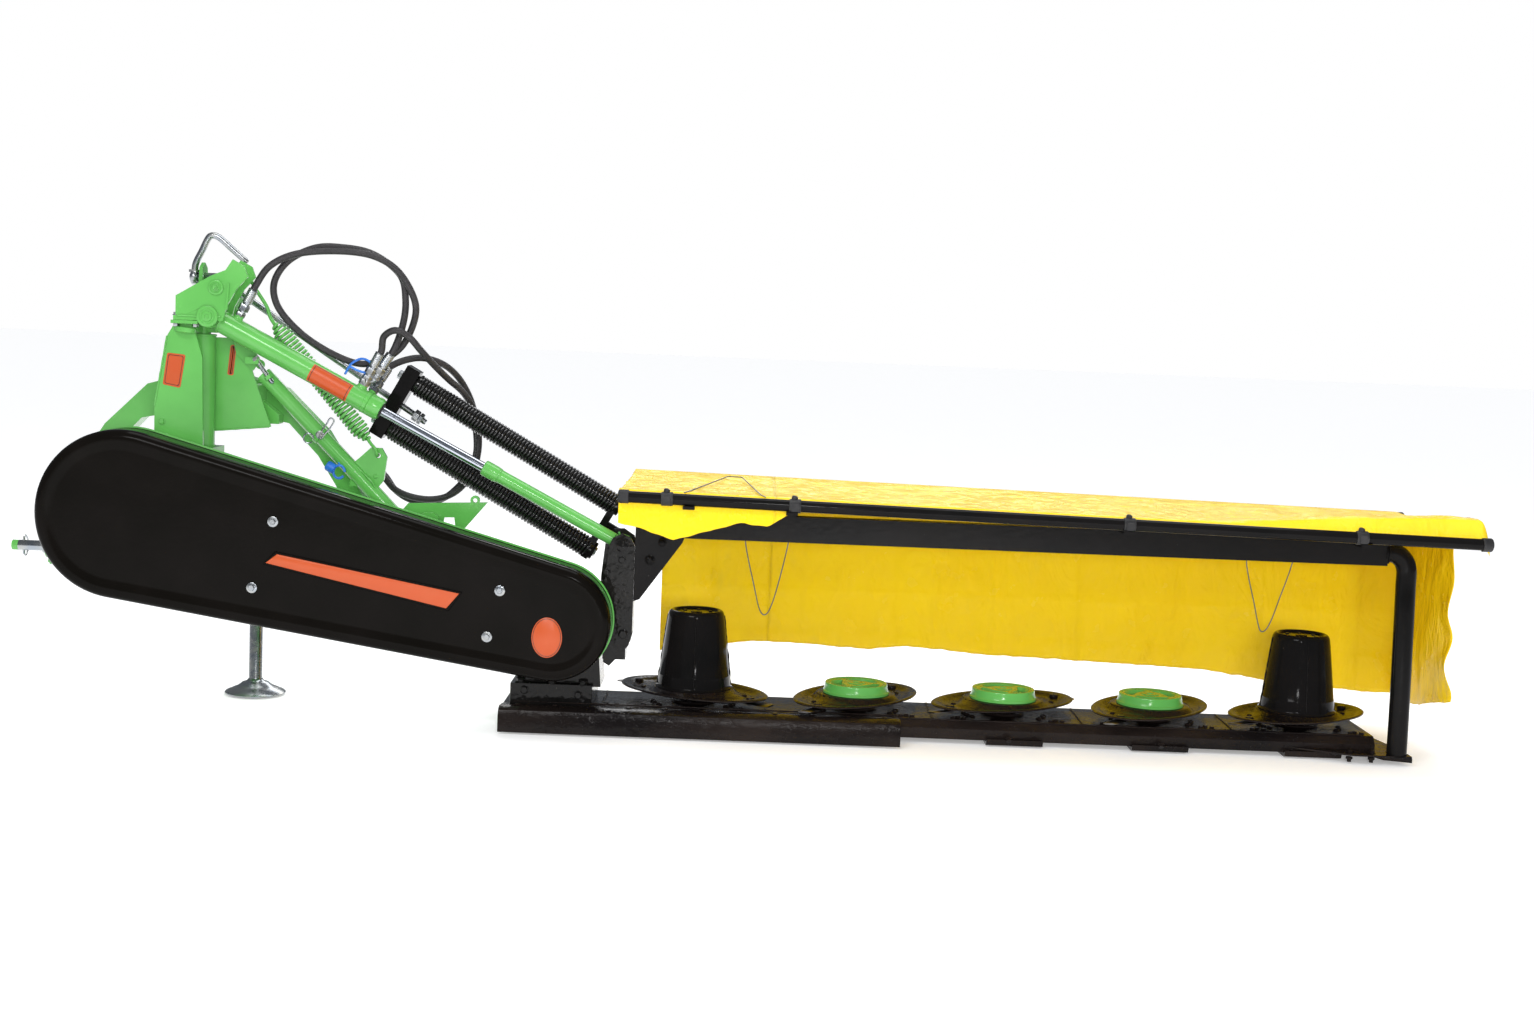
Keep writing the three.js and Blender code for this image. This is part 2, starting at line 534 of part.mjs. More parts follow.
// A point on the way out of a hose port, from its mouth.
const beyond = ([x, y, z], way, distance) => {
  const length = Math.hypot(...way);
  return [x + way[0] * distance / length, y + way[1] * distance / length,
    z + way[2] * distance / length];
};
const BASE_MOUTH = cylinderPoint(BASE_PORT, 50);
const ROD_MOUTH = cylinderPoint(ROD_PORT, 66);
const PORT_WAY = cylinderPoint(0, 1).map((value, i) => value - cylinderPoint(0)[i]);
const LOOP_MOUTH = [ROD_MOUTH[0] + 20, CYLINDER_PLANE + 12, ROD_MOUTH[2] + 2];
const LOOP_WAY = [0.54, 0, 0.84];
const FAR_MOUTH = cylinderPoint(ROD_PORT + 27, 43, CYLINDER_PLANE + 26);
const FAR_WAY = [0.4, 0.5, 0.77];

function cylinderBarrel() {
  const tube = rod(cylinderPoint(20), cylinderPoint(BARREL_LENGTH + 30), BARREL_RADIUS, 24);
  const eye = crossRod(CYL_BASE, [-129, -81], 30, 24);
  const basePort = rod(cylinderPoint(BASE_PORT, 20), BASE_MOUTH, 12, 12);
  const rodPort = rod(cylinderPoint(ROD_PORT, 20), ROD_MOUTH, 13, 12);
  const loopPort = rod(beyond(LOOP_MOUTH, LOOP_WAY, -30), LOOP_MOUTH, 9, 12);
  const bridge = rod(cylinderPoint(ROD_PORT, 46), beyond(LOOP_MOUTH, LOOP_WAY, -22), 9, 12);
  const farPort = rod(beyond(FAR_MOUTH, FAR_WAY, -42), FAR_MOUTH, 9, 12);
  const bore = rod(cylinderPoint(120), cylinderPoint(600), ROD_RADIUS + PIN_FIT / 2, 20);
  return cut(join(tube, eye, basePort, rodPort, loopPort, bridge, farPort),
    crossRod(CYL_BASE, [-200, 0], CYL_PIN_RADIUS + PIN_FIT / 2), bore);
}
add('cylinder_barrel', cylinderBarrel(), GREEN);

function cylinderRod() {
  return rod(cylinderPoint(ROD_START), cylinderPoint(EXTENSION_START - SEAT), ROD_RADIUS, 20);
}
add('cylinder_rod', cylinderRod(), CHROME);

function rodExtension() {
  const tube = rod(cylinderPoint(EXTENSION_START), cylinderPoint(CYL_SPAN), EXTENSION_RADIUS, 20);
  const eye = crossRod(CYL_EYE, [-130, -80], 26, 24);
  const pin = crossRod(CYL_EYE, [LEVER_NEAR[1] + SEAT, LEVER_FAR[0] - SEAT], CYL_PIN_RADIUS, 16);
  return join(tube, eye, pin);
}
add('rod_extension', rodExtension(), GREEN);

// ---- Float springs --------------------------------------------------------
const floatWay = () => {
  const dx = HANGER_AT[0] - FLOAT_BASE[0];
  const dz = HANGER_AT[1] - FLOAT_BASE[1];
  const length = Math.hypot(dx, dz);
  return [dx / length, dz / length, length];
};
const [FX, FZ, FLOAT_REACH] = floatWay();
const floatPoint = (distance, side = 0, y = FLOAT_PLANE) =>
  [FLOAT_BASE[0] + FX * distance - FZ * side, y, FLOAT_BASE[1] + FZ * distance + FX * side];

function floatRod() {
  const eye = crossRod(FLOAT_BASE, [FLOAT_PLANE - 12, FLOAT_PLANE + 12], 22, 20);
  const shank = rod(floatPoint(15), floatPoint(FLOAT_REACH + 100), FLOAT_ROD_RADIUS, 14);
  return cut(join(eye, shank), crossRod(FLOAT_BASE, [-50, 90], FLOAT_PIN_RADIUS + PIN_FIT / 2));
}
add('float_rod', floatRod(), ZINC);

const SPRING_WAY = (() => {
  const dx = FLOAT_EYE[0] - HANGER_AT[0];
  const dz = FLOAT_EYE[1] - HANGER_AT[1];
  const length = Math.hypot(dx, dz);
  return [dx / length, dz / length, length];
})();
const springPoint = (distance, side = 0, y = FLOAT_PLANE) =>
  [HANGER_AT[0] + SPRING_WAY[0] * distance - SPRING_WAY[1] * side, y,
    HANGER_AT[1] + SPRING_WAY[1] * distance + SPRING_WAY[0] * side];

function crossPlate(fromDistance, toDistance, halfWidth, [y0, y1]) {
  const corner = (distance, side) => {
    const [x, , z] = springPoint(distance, side);
    return [x, z];
  };
  return plate([corner(fromDistance, -halfWidth), corner(toDistance, -halfWidth),
    corner(toDistance, halfWidth), corner(fromDistance, halfWidth)], [y0, y1]);
}

const SLEEVE_SPAN = [22, SPRING_WAY[2] - 60];
function springHanger() {
  const body = crossPlate(-18, SLEEVE_SPAN[0] - SEAT, 104, [FLOAT_PLANE - 26, FLOAT_PLANE + 26]);
  return cut(body, rod(floatPoint(FLOAT_REACH - 90), floatPoint(FLOAT_REACH + 90),
    FLOAT_ROD_RADIUS + SHAFT_FIT, 16));
}
add('spring_hanger', springHanger(), BLACK);

const sleeveBody = (side) => rod(springPoint(SLEEVE_SPAN[0], side),
  springPoint(SLEEVE_SPAN[1], side), SLEEVE_RADIUS, 20);
add('float_spring_upper', sleeveBody(SLEEVE_SPREAD), SLEEVE);
add('float_spring_lower', sleeveBody(-SLEEVE_SPREAD), SLEEVE);

function springYoke() {
  const bar = crossPlate(SLEEVE_SPAN[1] + SEAT, SLEEVE_SPAN[1] + 20, 96,
    [FLOAT_PLANE - 20, FLOAT_PLANE + 20]);
  const tongue = crossPlate(SLEEVE_SPAN[1] + 10, SPRING_WAY[2], 20,
    [FLOAT_PLANE - 12, FLOAT_PLANE + 12]);
  const eye = crossRod(FLOAT_EYE, [FLOAT_PLANE - 12, FLOAT_PLANE + 12], 22, 20);
  const pin = crossRod(FLOAT_EYE, [LEVER_FAR[1] + SEAT, FLOAT_PLANE + 24], FLOAT_PIN_RADIUS, 16);
  return join(bar, tongue, eye, pin);
}
add('spring_yoke', springYoke(), BLACK);

// ---- Bar head -------------------------------------------------------------
function bevelGearbox() {
  const [x, z] = LIFT_AXIS;
  const barrel = crossRod(LIFT_AXIS, GEARBOX_DEPTH, GEARBOX_RADIUS, 32);
  const radius = GEARBOX_RADIUS;
  const neck = plate([[x - radius, NECK_BOTTOM], [x + radius + 14, NECK_BOTTOM], [x + radius, z],
    [x - radius, z]], [ARM_DEPTH[1] + 5, GEARBOX_DEPTH[1] - 10]);
  const flange = box(GEARBOX_FLANGE, [-150, 60], [BAR_TOP + SEAT, NECK_BOTTOM + 8]);
  const [front, rear] = PULLEY_DEPTH;
  const spigot = turnedAcross([[0, front], [PULLEY_SMALL, front], [PULLEY_SMALL, rear],
    [SPIGOT_RADIUS, rear], [SPIGOT_RADIUS, GEARBOX_DEPTH[0] + 10], [0, GEARBOX_DEPTH[0] + 10]],
  LIFT_AXIS, 28);
  return join(barrel, neck, flange, spigot);
}
add('bevel_gearbox', bevelGearbox(), BLACK);

function liftLever() {
  const outer = LEVER_OUTER;
  const [x, z] = LIFT_AXIS;
  const low = [[outer, z - 38], [outer - 8, z - 72], [outer - 58, z - 128], [outer - 74, z - 118],
    [outer - 70, z - 32], [x + GEARBOX_RADIUS - 8, z - 20], [x + GEARBOX_RADIUS - 14, z + 40]];
  const front = [[outer - 90, z + 72], [outer - 90, z + 95], [outer - 76, z + 102],
    ...from(CYL_EYE, [[-34, 0], [-24, 22], [0, 34], [24, 22]]), [outer, CYL_EYE[1]], ...low];
  const back = [[outer - 92, z + 72], [outer - 92, z + 100],
    ...from(CYL_EYE, [[-48, 10], [-28, 38], [0, 40], [28, 22]]), [outer, CYL_EYE[1]], ...low];
  const across = [LEVER_NEAR[0], LEVER_FAR[1]];
  const web = box([outer - 12, outer], across, [z - 38, CYL_EYE[1] - 20]);
  const foot = box([outer - 76, outer - 16], across, [z - 110, z - 38]);
  return join(plate(front, LEVER_NEAR), plate(back, LEVER_FAR), web, foot);
}

function leverBody() {
  const [x, z] = LIFT_AXIS;
  const keep = crossRod([x, z], [-400, 400], GEARBOX_RADIUS + SEAT, 32);
  const neck = plate([[x - GEARBOX_RADIUS - 6, NECK_BOTTOM - 5],
    [x + GEARBOX_RADIUS + 15, NECK_BOTTOM - 5], [x + GEARBOX_RADIUS + 1, z + 2],
    [x - GEARBOX_RADIUS, z + 2]], [-400, 400]);
  return cut(liftLever(), keep, neck);
}
add('lift_lever', leverBody(), BLACK);

// ---- Cutter bar -----------------------------------------------------------
function cutterBar() {
  const bed = section([[BAR_REAR, BAR_BOTTOM], [BAR_REAR, 40], [-132, BAR_TOP], [96, BAR_TOP],
    [150, 34], [BAR_FRONT, 18], [BAR_FRONT - 14, BAR_BOTTOM]], [BAR_INNER, BAR_OUTER]);
  const seats = [];
  for (let i = 0; i < DISC_COUNT; i += 1) {
    seats.push(turned([[0, BAR_TOP - 10], [62, BAR_TOP - 10], [58, BAR_TOP + HUB_SEAT_HEIGHT],
      [0, BAR_TOP + HUB_SEAT_HEIGHT]], discX(i), 0, 24));
  }
  return join(bed, ...seats);
}
add('cutter_bar', cutterBar(), BLACK);

function rearLip() {
  const rear = LIP_REAR;
  const top = LIP_TOP;
  return section([[rear, 4], [rear, top - 26], [rear + 8, top - 8], [rear + 26, top],
    [BAR_REAR - SEAT, top - 6], [BAR_REAR - SEAT, top - 6 - LIP_WALL - 8],
    [rear + 28, top - LIP_WALL], [rear + 12, top - 14], [rear + LIP_WALL, top - 28],
    [rear + LIP_WALL, 4]], [BAR_INNER, LIP_OUTER]);
}
add('rear_lip', rearLip(), BLACK);

SKID_PLACES.forEach(([under, offset], index) => {
  const x = discX(under) + offset;
  const shoe = section([[-172, SKID_THICK + 12], [-166, 4], [-150, 0], [140, 0], [168, 8],
    [164, BAR_BOTTOM - SEAT], [BAR_REAR - 6, BAR_BOTTOM - SEAT], [-158, SKID_THICK + 12]],
  [x - SKID_WIDTH / 2, x + SKID_WIDTH / 2]);
  add(`skid_shoe_${index + 1}`, shoe, BLACK);
});

function outerShoe() {
  return join(slab([[BAR_OUTER + SEAT, -150], [BAR_OUTER + 20, -196], [BAR_OUTER + 90, -220],
    [BAR_OUTER + 90, -160], [BAR_OUTER + 50, 60], [BAR_OUTER + 10, 150],
    [BAR_OUTER + SEAT, 150]], [SHOE_TOP - 12, SHOE_TOP]),
  section([[BAR_REAR, 10], [BAR_REAR, 40], [-132, BAR_TOP], [96, BAR_TOP], [150, 34],
    [150, 10]], [BAR_OUTER + SEAT, BAR_OUTER + 12]));
}
add('outer_shoe', outerShoe(), BLACK);

function disc(index) {
  const x = discX(index);
  const hub = turned([[0, BAR_TOP + HUB_SEAT_HEIGHT + SEAT],
    [DISC_HUB_RADIUS, BAR_TOP + HUB_SEAT_HEIGHT + SEAT], [DISC_HUB_RADIUS, 95], [0, 95]], x, 0, 16);
  const dish = [[0, 92], [0.44, 92], [0.7, 80], [1, 90], [1, 96], [0.7, 86], [0.46, DISC_TOP],
    [0, DISC_TOP]];
  const geometry = new THREE.LatheGeometry(
    dish.map(([r, z]) => new THREE.Vector2(r * DISC_LONG, z)), 24);
  geometry.rotateX(Math.PI / 2);
  geometry.scale(1, DISC_SHORT / DISC_LONG, 1);
  const centre = turned([[0, 92], [104, 92], [104, DISC_TOP], [0, DISC_TOP]], 0, 0, 20);
  const blades = [1, -1].map((side) => {
    const at = side * KNIFE_BOLT_RADIUS;
    const tip = side * (KNIFE_BOLT_RADIUS + KNIFE_LENGTH - KNIFE_WIDTH / 2);
    const root = at - side * KNIFE_WIDTH / 2;
    const knife = box([Math.min(root, tip), Math.max(root, tip)],
      [-KNIFE_WIDTH / 2, KNIFE_WIDTH / 2], [KNIFE_Z, KNIFE_Z + KNIFE_THICK]);
    return join(knife, rod([at, 0, KNIFE_Z - 4], [at, 0, 92], 8, 8));
  });
  const oval = join(solid(geometry), centre, ...blades).translate([x, 0, 0]);
  return turnAbout(join(hub, oval), [x, 0], DISC_ANGLES[index]);
}
for (let i = 0; i < DISC_COUNT; i += 1) add(`disc_${i + 1}`, disc(i), BLACK);

function drum(index) {
  const base = DISC_TOP + SEAT;
  const top = base + DRUM_HEIGHT;
  return turned([[0, base], [DRUM_RADIUS_BOTTOM, base], [DRUM_RADIUS_TOP + 2, top - 10],
    [DRUM_RADIUS_TOP - 6, top], [DRUM_RADIUS_TOP - 14, top], [DRUM_RADIUS_TOP - 18, top - 6],
    [0, top - 6]], discX(index), 0, 28);
}
add('drum_inner', drum(0), BLACK);
add('drum_outer', drum(DISC_COUNT - 1), BLACK);

for (let i = 1; i < DISC_COUNT - 1; i += 1) {
  const base = DISC_TOP + SEAT;
  add(`disc_cap_${i}`, turned([[0, base], [CAP_RADIUS_BOTTOM, base],
    [CAP_RADIUS_TOP, base + CAP_HEIGHT], [0, base + CAP_HEIGHT]], discX(i), 0, 24), GREEN);
}

// ---- Canopy ---------------------------------------------------------------
const hoopZ = (x) => HOOP_Z[0] + (HOOP_Z[1] - HOOP_Z[0]) * (x - HOOP_X[0]) / (HOOP_X[1] - HOOP_X[0]);

function canopyFrame() {
  const beam = box([BEAM_INNER, BEAM_OUTER], BEAM_DEPTH, BEAM_Z);
  const edge = LEVER_OUTER + SEAT;
  const gusset = plate([[edge, LIFT_AXIS[1] + 46], [edge + 16, LIFT_AXIS[1] + 52],
    [BEAM_INNER + 5, BEAM_Z[0] - 17], [BEAM_INNER + 15, BEAM_Z[0] + 10],
    [BEAM_INNER + 15, BEAM_Z[1] - 29], [edge, BEAM_Z[1] - 41]],
  [BEAM_DEPTH[1] + 0.1, BEAM_DEPTH[1] + 11]);
  const weld = box([BEAM_INNER, BEAM_INNER + 85], [BEAM_DEPTH[1] - 5, BEAM_DEPTH[1] + 11],
    [BEAM_Z[0] + 8, BEAM_Z[1] - 14]);
  const arms = CROSS_ARM_X.map((x) => {
    const z = hoopZ(x) - HOOP_RADIUS - SEAT;
    const front = x < FULL_ARMS_FROM ? BEAM_DEPTH[1] : HOOP_FRONT + 14;
    return join(box([x - 15, x + 15], [HOOP_REAR - 14, front], [z - 8, z]),
      box([x - 15, x + 15], BEAM_DEPTH, [BEAM_Z[1] - 5, z - 2]));
  });
  return join(beam, gusset, weld, ...arms);
}
add('canopy_frame', canopyFrame(), BLACK);

function canopyLeg() {
  const y = (BEAM_DEPTH[0] + BEAM_DEPTH[1]) / 2;
  const middle = (BEAM_Z[0] + BEAM_Z[1]) / 2;
  const foot = SHOE_TOP + SEAT;
  const tube = bentRod([[BEAM_OUTER + SEAT, y, middle + 0.5], [BEAM_OUTER + 18, y, middle - 0.5],
    [BEAM_OUTER + 40, y, middle - 10.5], [LEG_X, y - 4, middle - 40.5],
    [LEG_X, y - 10, middle - 135.5], [LEG_X, y - 25, foot + 97.7], [LEG_X, y - 27, foot]],
  LEG_RADIUS, 12, 12);
  return cut(tube, box([LEG_X - 90, BEAM_OUTER + SEAT], [-300, 0], [400, 700]),
    box([LEG_X - 156, LEG_X + 144], [-300, 0], [-20, foot]));
}
add('canopy_leg', canopyLeg(), BLACK);

const hoop = (y) => rod([HOOP_X[0], y, HOOP_Z[0]], [HOOP_X[1], y, HOOP_Z[1]], HOOP_RADIUS, 14);
add('canopy_rear_tube', hoop(HOOP_REAR), BLACK);
add('canopy_front_tube', hoop(HOOP_FRONT), BLACK);

function canopySheet() {
  const near = HOOP_RADIUS + SEAT;
  const far = near + SHEET_THICK;
  const corner = Math.tan(Math.PI / 8);
  const hem = SKIRT_BOTTOM - HOOP_Z[0];
  const sheet = section([[HOOP_REAR - far, -REAR_HEM], [HOOP_REAR - far, far * corner],
    [HOOP_REAR - far * corner, far], [HOOP_FRONT + far * corner, far],
    [HOOP_FRONT + far, far * corner], [HOOP_FRONT + far, hem], [HOOP_FRONT + near, hem],
    [HOOP_FRONT + near, near * corner], [HOOP_FRONT + near * corner, near],
    [HOOP_REAR - near * corner, near], [HOOP_REAR - near, near * corner],
    [HOOP_REAR - near, -REAR_HEM]], [HOOP_X[0] - 10, HOOP_X[1] + 10]);
  const skirtGap = box([HOOP_X[0] - 20, SKIRT_INNER], [HOOP_FRONT, HOOP_FRONT + far + 10],
    [hem - 10, -REAR_HEM]);
  const endSkirt = box([HOOP_X[1] + 10 - SHEET_THICK, HOOP_X[1] + 10],
    [END_SKIRT_REAR, HOOP_FRONT + near + 1], [hem, near + 1]);
  const tilt = Math.atan2(HOOP_Z[1] - HOOP_Z[0], HOOP_X[1] - HOOP_X[0]) * 180 / Math.PI;
  return cut(join(sheet, endSkirt), skirtGap).translate([-HOOP_X[0], 0, 0]).rotate([0, -tilt, 0])
    .translate([HOOP_X[0], 0, HOOP_Z[0]]);
}
add('canopy_sheet', canopySheet(), SHEET);

// ---- Hoses ----------------------------------------------------------------
const LOOP_HOSE = [beyond(BASE_MOUTH, PORT_WAY, SEAT), beyond(BASE_MOUTH, PORT_WAY, 40),
  beyond(BASE_MOUTH, PORT_WAY, 78), [-1144, -106, 1180], [-1090, -104, 1212], [-1000, -98, 1228],
  [-880, -96, 1222], [-816, -94, 1190], [-776, -90, 1136], [-762, -83, 1090], [-772, -74, 1040],
  [-802, -68, 985], [-850, -68, 950], [-905, -76, 938], [-985, -86, 965], [-1070, -88, 1020],
  [-1125, -88, 1085], [-1134, -84, 1140], [-1102, -80, 1196], [-1030, -74, 1236],
  [-960, -72, 1240], [-880, -70, 1226], [-806, -70, 1172], [-790, -80, 1110], [-793, -90, 1050],
  beyond(LOOP_MOUTH, LOOP_WAY, 78), beyond(LOOP_MOUTH, LOOP_WAY, 40),
  beyond(LOOP_MOUTH, LOOP_WAY, SEAT)];
add('hose_loop', bentRod(LOOP_HOSE, HOSE_RADIUS, 8, 60), RUBBER);

const couplerEnd = (y) => [[COUPLER_AT[0] + 26, y, COUPLER_AT[2] - 0.5],
  [COUPLER_AT[0] + SEAT, y, COUPLER_AT[2]]];

const LINE_HOSE_1 = [beyond(ROD_MOUTH, PORT_WAY, SEAT), beyond(ROD_MOUTH, PORT_WAY, 40),
  beyond(ROD_MOUTH, PORT_WAY, 70), [-838, -116, 1012], [-806, -128, 1030], [-772, -122, 1014],
  [-742, -100, 978], [-712, -52, 938], [-685, 5, 903], [-654, 58, 868], [-630, 86, 825],
  [-617, 92, 780], [-614, 92, 709], [-627, 92, 656], [-660, 92, 606], [-699, 92, 580],
  [-746, 92, 571], [-804, 93, 579], [-841, 94, 596], ...couplerEnd(COUPLER_Y[0])];
add('hose_line_1', bentRod(LINE_HOSE_1, HOSE_RADIUS, 8, 50), RUBBER);

const LINE_HOSE_2 = [beyond(FAR_MOUTH, FAR_WAY, SEAT), beyond(FAR_MOUTH, FAR_WAY, 22),
  [-840, -48, 926], [-811, -28, 946], [-764, -6, 958], [-717, 28, 948], [-680, 72, 918],
  [-652, 104, 872], [-634, 113, 825], [-626, 114, 775], [-622, 114, 705], [-638, 113, 648],
  [-668, 113, 608], [-708, 113, 574], [-750, 114, 562], [-800, 116, 566], [-842, 120, 590],
  ...couplerEnd(COUPLER_Y[1])];
add('hose_line_2', bentRod(LINE_HOSE_2, HOSE_RADIUS, 8, 50), RUBBER);

// The origin is put at the middle of the foot of the machine, hoses left out.
const bounds = new THREE.Box3();
for (const item of model.children) {
  if (!item.name.startsWith('hose')) bounds.expandByObject(item);
}
model.position.set(-(bounds.min.x + bounds.max.x) / 2, -(bounds.min.y + bounds.max.y) / 2,
  -bounds.min.z);

export default model;
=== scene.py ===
"""Rear-mounted disc mower: finishes, fittings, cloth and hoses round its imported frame."""

import json
from math import acos, atan2, cos, exp, hypot, pi, radians, sin, sqrt

import bmesh
import bpy
from mathutils import Matrix, Vector, noise

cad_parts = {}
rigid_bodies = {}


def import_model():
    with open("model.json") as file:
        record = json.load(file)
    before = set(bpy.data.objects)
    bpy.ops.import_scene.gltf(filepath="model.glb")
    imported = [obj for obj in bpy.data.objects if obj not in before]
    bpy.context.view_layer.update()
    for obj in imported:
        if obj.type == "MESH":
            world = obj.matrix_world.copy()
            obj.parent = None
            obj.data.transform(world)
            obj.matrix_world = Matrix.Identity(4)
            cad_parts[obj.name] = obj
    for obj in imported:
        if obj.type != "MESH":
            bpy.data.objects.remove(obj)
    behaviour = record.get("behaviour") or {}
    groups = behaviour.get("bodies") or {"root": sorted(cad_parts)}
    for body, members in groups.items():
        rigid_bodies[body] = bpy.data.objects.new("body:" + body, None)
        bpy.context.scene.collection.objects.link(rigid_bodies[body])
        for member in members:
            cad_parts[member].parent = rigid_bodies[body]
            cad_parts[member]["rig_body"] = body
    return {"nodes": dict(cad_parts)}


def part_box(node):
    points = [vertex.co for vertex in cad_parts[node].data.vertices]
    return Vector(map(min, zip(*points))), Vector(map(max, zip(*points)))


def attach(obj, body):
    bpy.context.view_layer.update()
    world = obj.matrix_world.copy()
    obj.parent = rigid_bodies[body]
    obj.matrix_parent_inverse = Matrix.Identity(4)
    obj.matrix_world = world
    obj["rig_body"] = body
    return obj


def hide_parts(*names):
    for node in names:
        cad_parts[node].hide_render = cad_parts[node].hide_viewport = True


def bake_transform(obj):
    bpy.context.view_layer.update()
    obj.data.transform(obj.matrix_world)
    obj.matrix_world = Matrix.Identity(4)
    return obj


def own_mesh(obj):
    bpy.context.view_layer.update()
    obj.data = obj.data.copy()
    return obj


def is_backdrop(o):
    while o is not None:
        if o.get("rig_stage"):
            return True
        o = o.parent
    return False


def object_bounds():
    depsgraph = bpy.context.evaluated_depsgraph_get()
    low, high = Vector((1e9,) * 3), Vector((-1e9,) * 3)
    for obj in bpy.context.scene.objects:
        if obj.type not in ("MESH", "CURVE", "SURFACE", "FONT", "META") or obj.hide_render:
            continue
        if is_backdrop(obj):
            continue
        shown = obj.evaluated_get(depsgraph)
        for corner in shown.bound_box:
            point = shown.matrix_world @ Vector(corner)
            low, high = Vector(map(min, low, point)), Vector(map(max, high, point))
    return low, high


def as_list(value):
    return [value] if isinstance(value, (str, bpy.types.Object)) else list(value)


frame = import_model()
cad_low, cad_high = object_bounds()

MM = 0.001
ALONG, AHEAD, UP = Vector((1, 0, 0)), Vector((0, 1, 0)), Vector((0, 0, 1))
BACK, DOWN = -AHEAD, -UP
BAR_INNER = -500                                   # drawing x of the bar's inner end
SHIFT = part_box("cutter_bar")[0].x - BAR_INNER * MM   # drawing to frame, along x


def at(x, y, z):
    """Drawing millimetres to a point of the frame."""
    return Vector((x * MM + SHIFT, y * MM, z * MM))


# ---- Camera ----------------------------------------------------------------
def set_camera():
    yaw, pitch, roll = (radians(a) for a in (0.42, 5.52, 2.30))
    ahead = Vector((sin(yaw), cos(yaw), 0))
    right = Vector((cos(yaw), -sin(yaw), 0))
    look = ahead * cos(pitch) - UP * sin(pitch)
    up = UP * cos(pitch) + ahead * sin(pitch)
    side = right * cos(roll) + up * sin(roll)
    over = up * cos(roll) - right * sin(roll)
    data = bpy.data.cameras.new("camera")
    data.lens, data.sensor_width = 46.04, 36.0
    data.clip_end = 60.0
    camera = bpy.data.objects.new("camera", data)
    turn = Matrix((side, over, -look)).transposed().to_4x4()
    camera.matrix_world = Matrix.Translation(at(141, -5256, 1087)) @ turn
    bpy.context.scene.collection.objects.link(camera)
    bpy.context.scene.camera = camera


set_camera()


# ---- Finishes --------------------------------------------------------------
class Value:
    """A number or colour that changes over a surface; sums on it add Math nodes."""

    def __init__(self, finish, socket):
        self.finish, self.socket = finish, socket

    def math(self, operation, first, second=None):
        sockets = {0: first} if second is None else {0: first, 1: second}
        return self.finish.node("ShaderNodeMath", {"operation": operation}, sockets)

    def __add__(self, other):
        return self.math("ADD", self, other)

    __radd__ = __add__

    def __mul__(self, other):
        return self.math("MULTIPLY", self, other)

    __rmul__ = __mul__

    def __pow__(self, other):
        return self.math("POWER", self, other)

    def held(self, low, high):
        """Spread out so that low becomes 0 and high 1, and held there."""
        return self.finish.node("ShaderNodeMapRange", {"clamp": True},
                                {"Value": self, "From Min": low, "From Max": high})

    def sine(self):
        return self.math("SINE", self)


class Finish:
    """A material: its fixed numbers, and the nodes that vary it over the surface."""

    def __init__(self, name, colour, roughness, metallic=0.0, **fixed):
        self.material = bpy.data.materials.new(name)
        self.material.use_nodes = True
        self.tree = self.material.node_tree
        self.shader = self.tree.nodes["Principled BSDF"]
        self.set("Base Color", (*colour, 1.0))
        self.set("Roughness", roughness)
        self.set("Metallic", metallic)
        for key, value in fixed.items():
            self.set(key.replace("_", " "), value)
        self.place = self.node("ShaderNodeTexCoord", out="Object")

    def set(self, name, value):
        self.feed(self.shader.inputs[name], value)

    def feed(self, socket, value):
        if isinstance(value, Value):
            self.tree.links.new(value.socket, socket)
        else:
            socket.default_value = value

    def node(self, kind, settings=None, sockets=None, out=0):
        made = self.tree.nodes.new(kind)
        for key, value in (settings or {}).items():
            setattr(made, key, value)
        for key, value in (sockets or {}).items():
            self.feed(made.inputs[key], value)
        return Value(self, made.outputs[out])

    def stretched(self, x, y, z):
        return self.node("ShaderNodeMapping", None, {"Vector": self.place, "Scale": (x, y, z)})

    def cloud(self, scale, detail=3.0, place=None, rough=0.5, warp=0.0):
        return self.node("ShaderNodeTexNoise", None, {
            "Vector": place or self.place, "Scale": scale, "Detail": detail,
            "Roughness": rough, "Distortion": warp})

    def cells(self, scale):
        return self.node("ShaderNodeTexVoronoi", None, {"Vector": self.place, "Scale": scale},
                         out="Distance")

    def along(self, axis):
        return self.node("ShaderNodeSeparateXYZ", None, {"Vector": self.place}, out=axis)

    def mixed(self, factor, first, second):
        first, second = (c if isinstance(c, Value) else (*c, 1.0) for c in (first, second))
        return self.node("ShaderNodeMix", {"data_type": "RGBA"},
                         {"Factor": factor, 6: first, 7: second}, out=2)

    def surface(self, colour, roughness, height, depth):
        """Sets the varying colour, roughness and relief, and hands over the material."""
        self.set("Base Color", colour)
        self.set("Roughness", roughness)
        self.set("Normal", self.node("ShaderNodeBump", None, {"Height": height, "Distance": depth}))
        return self.material


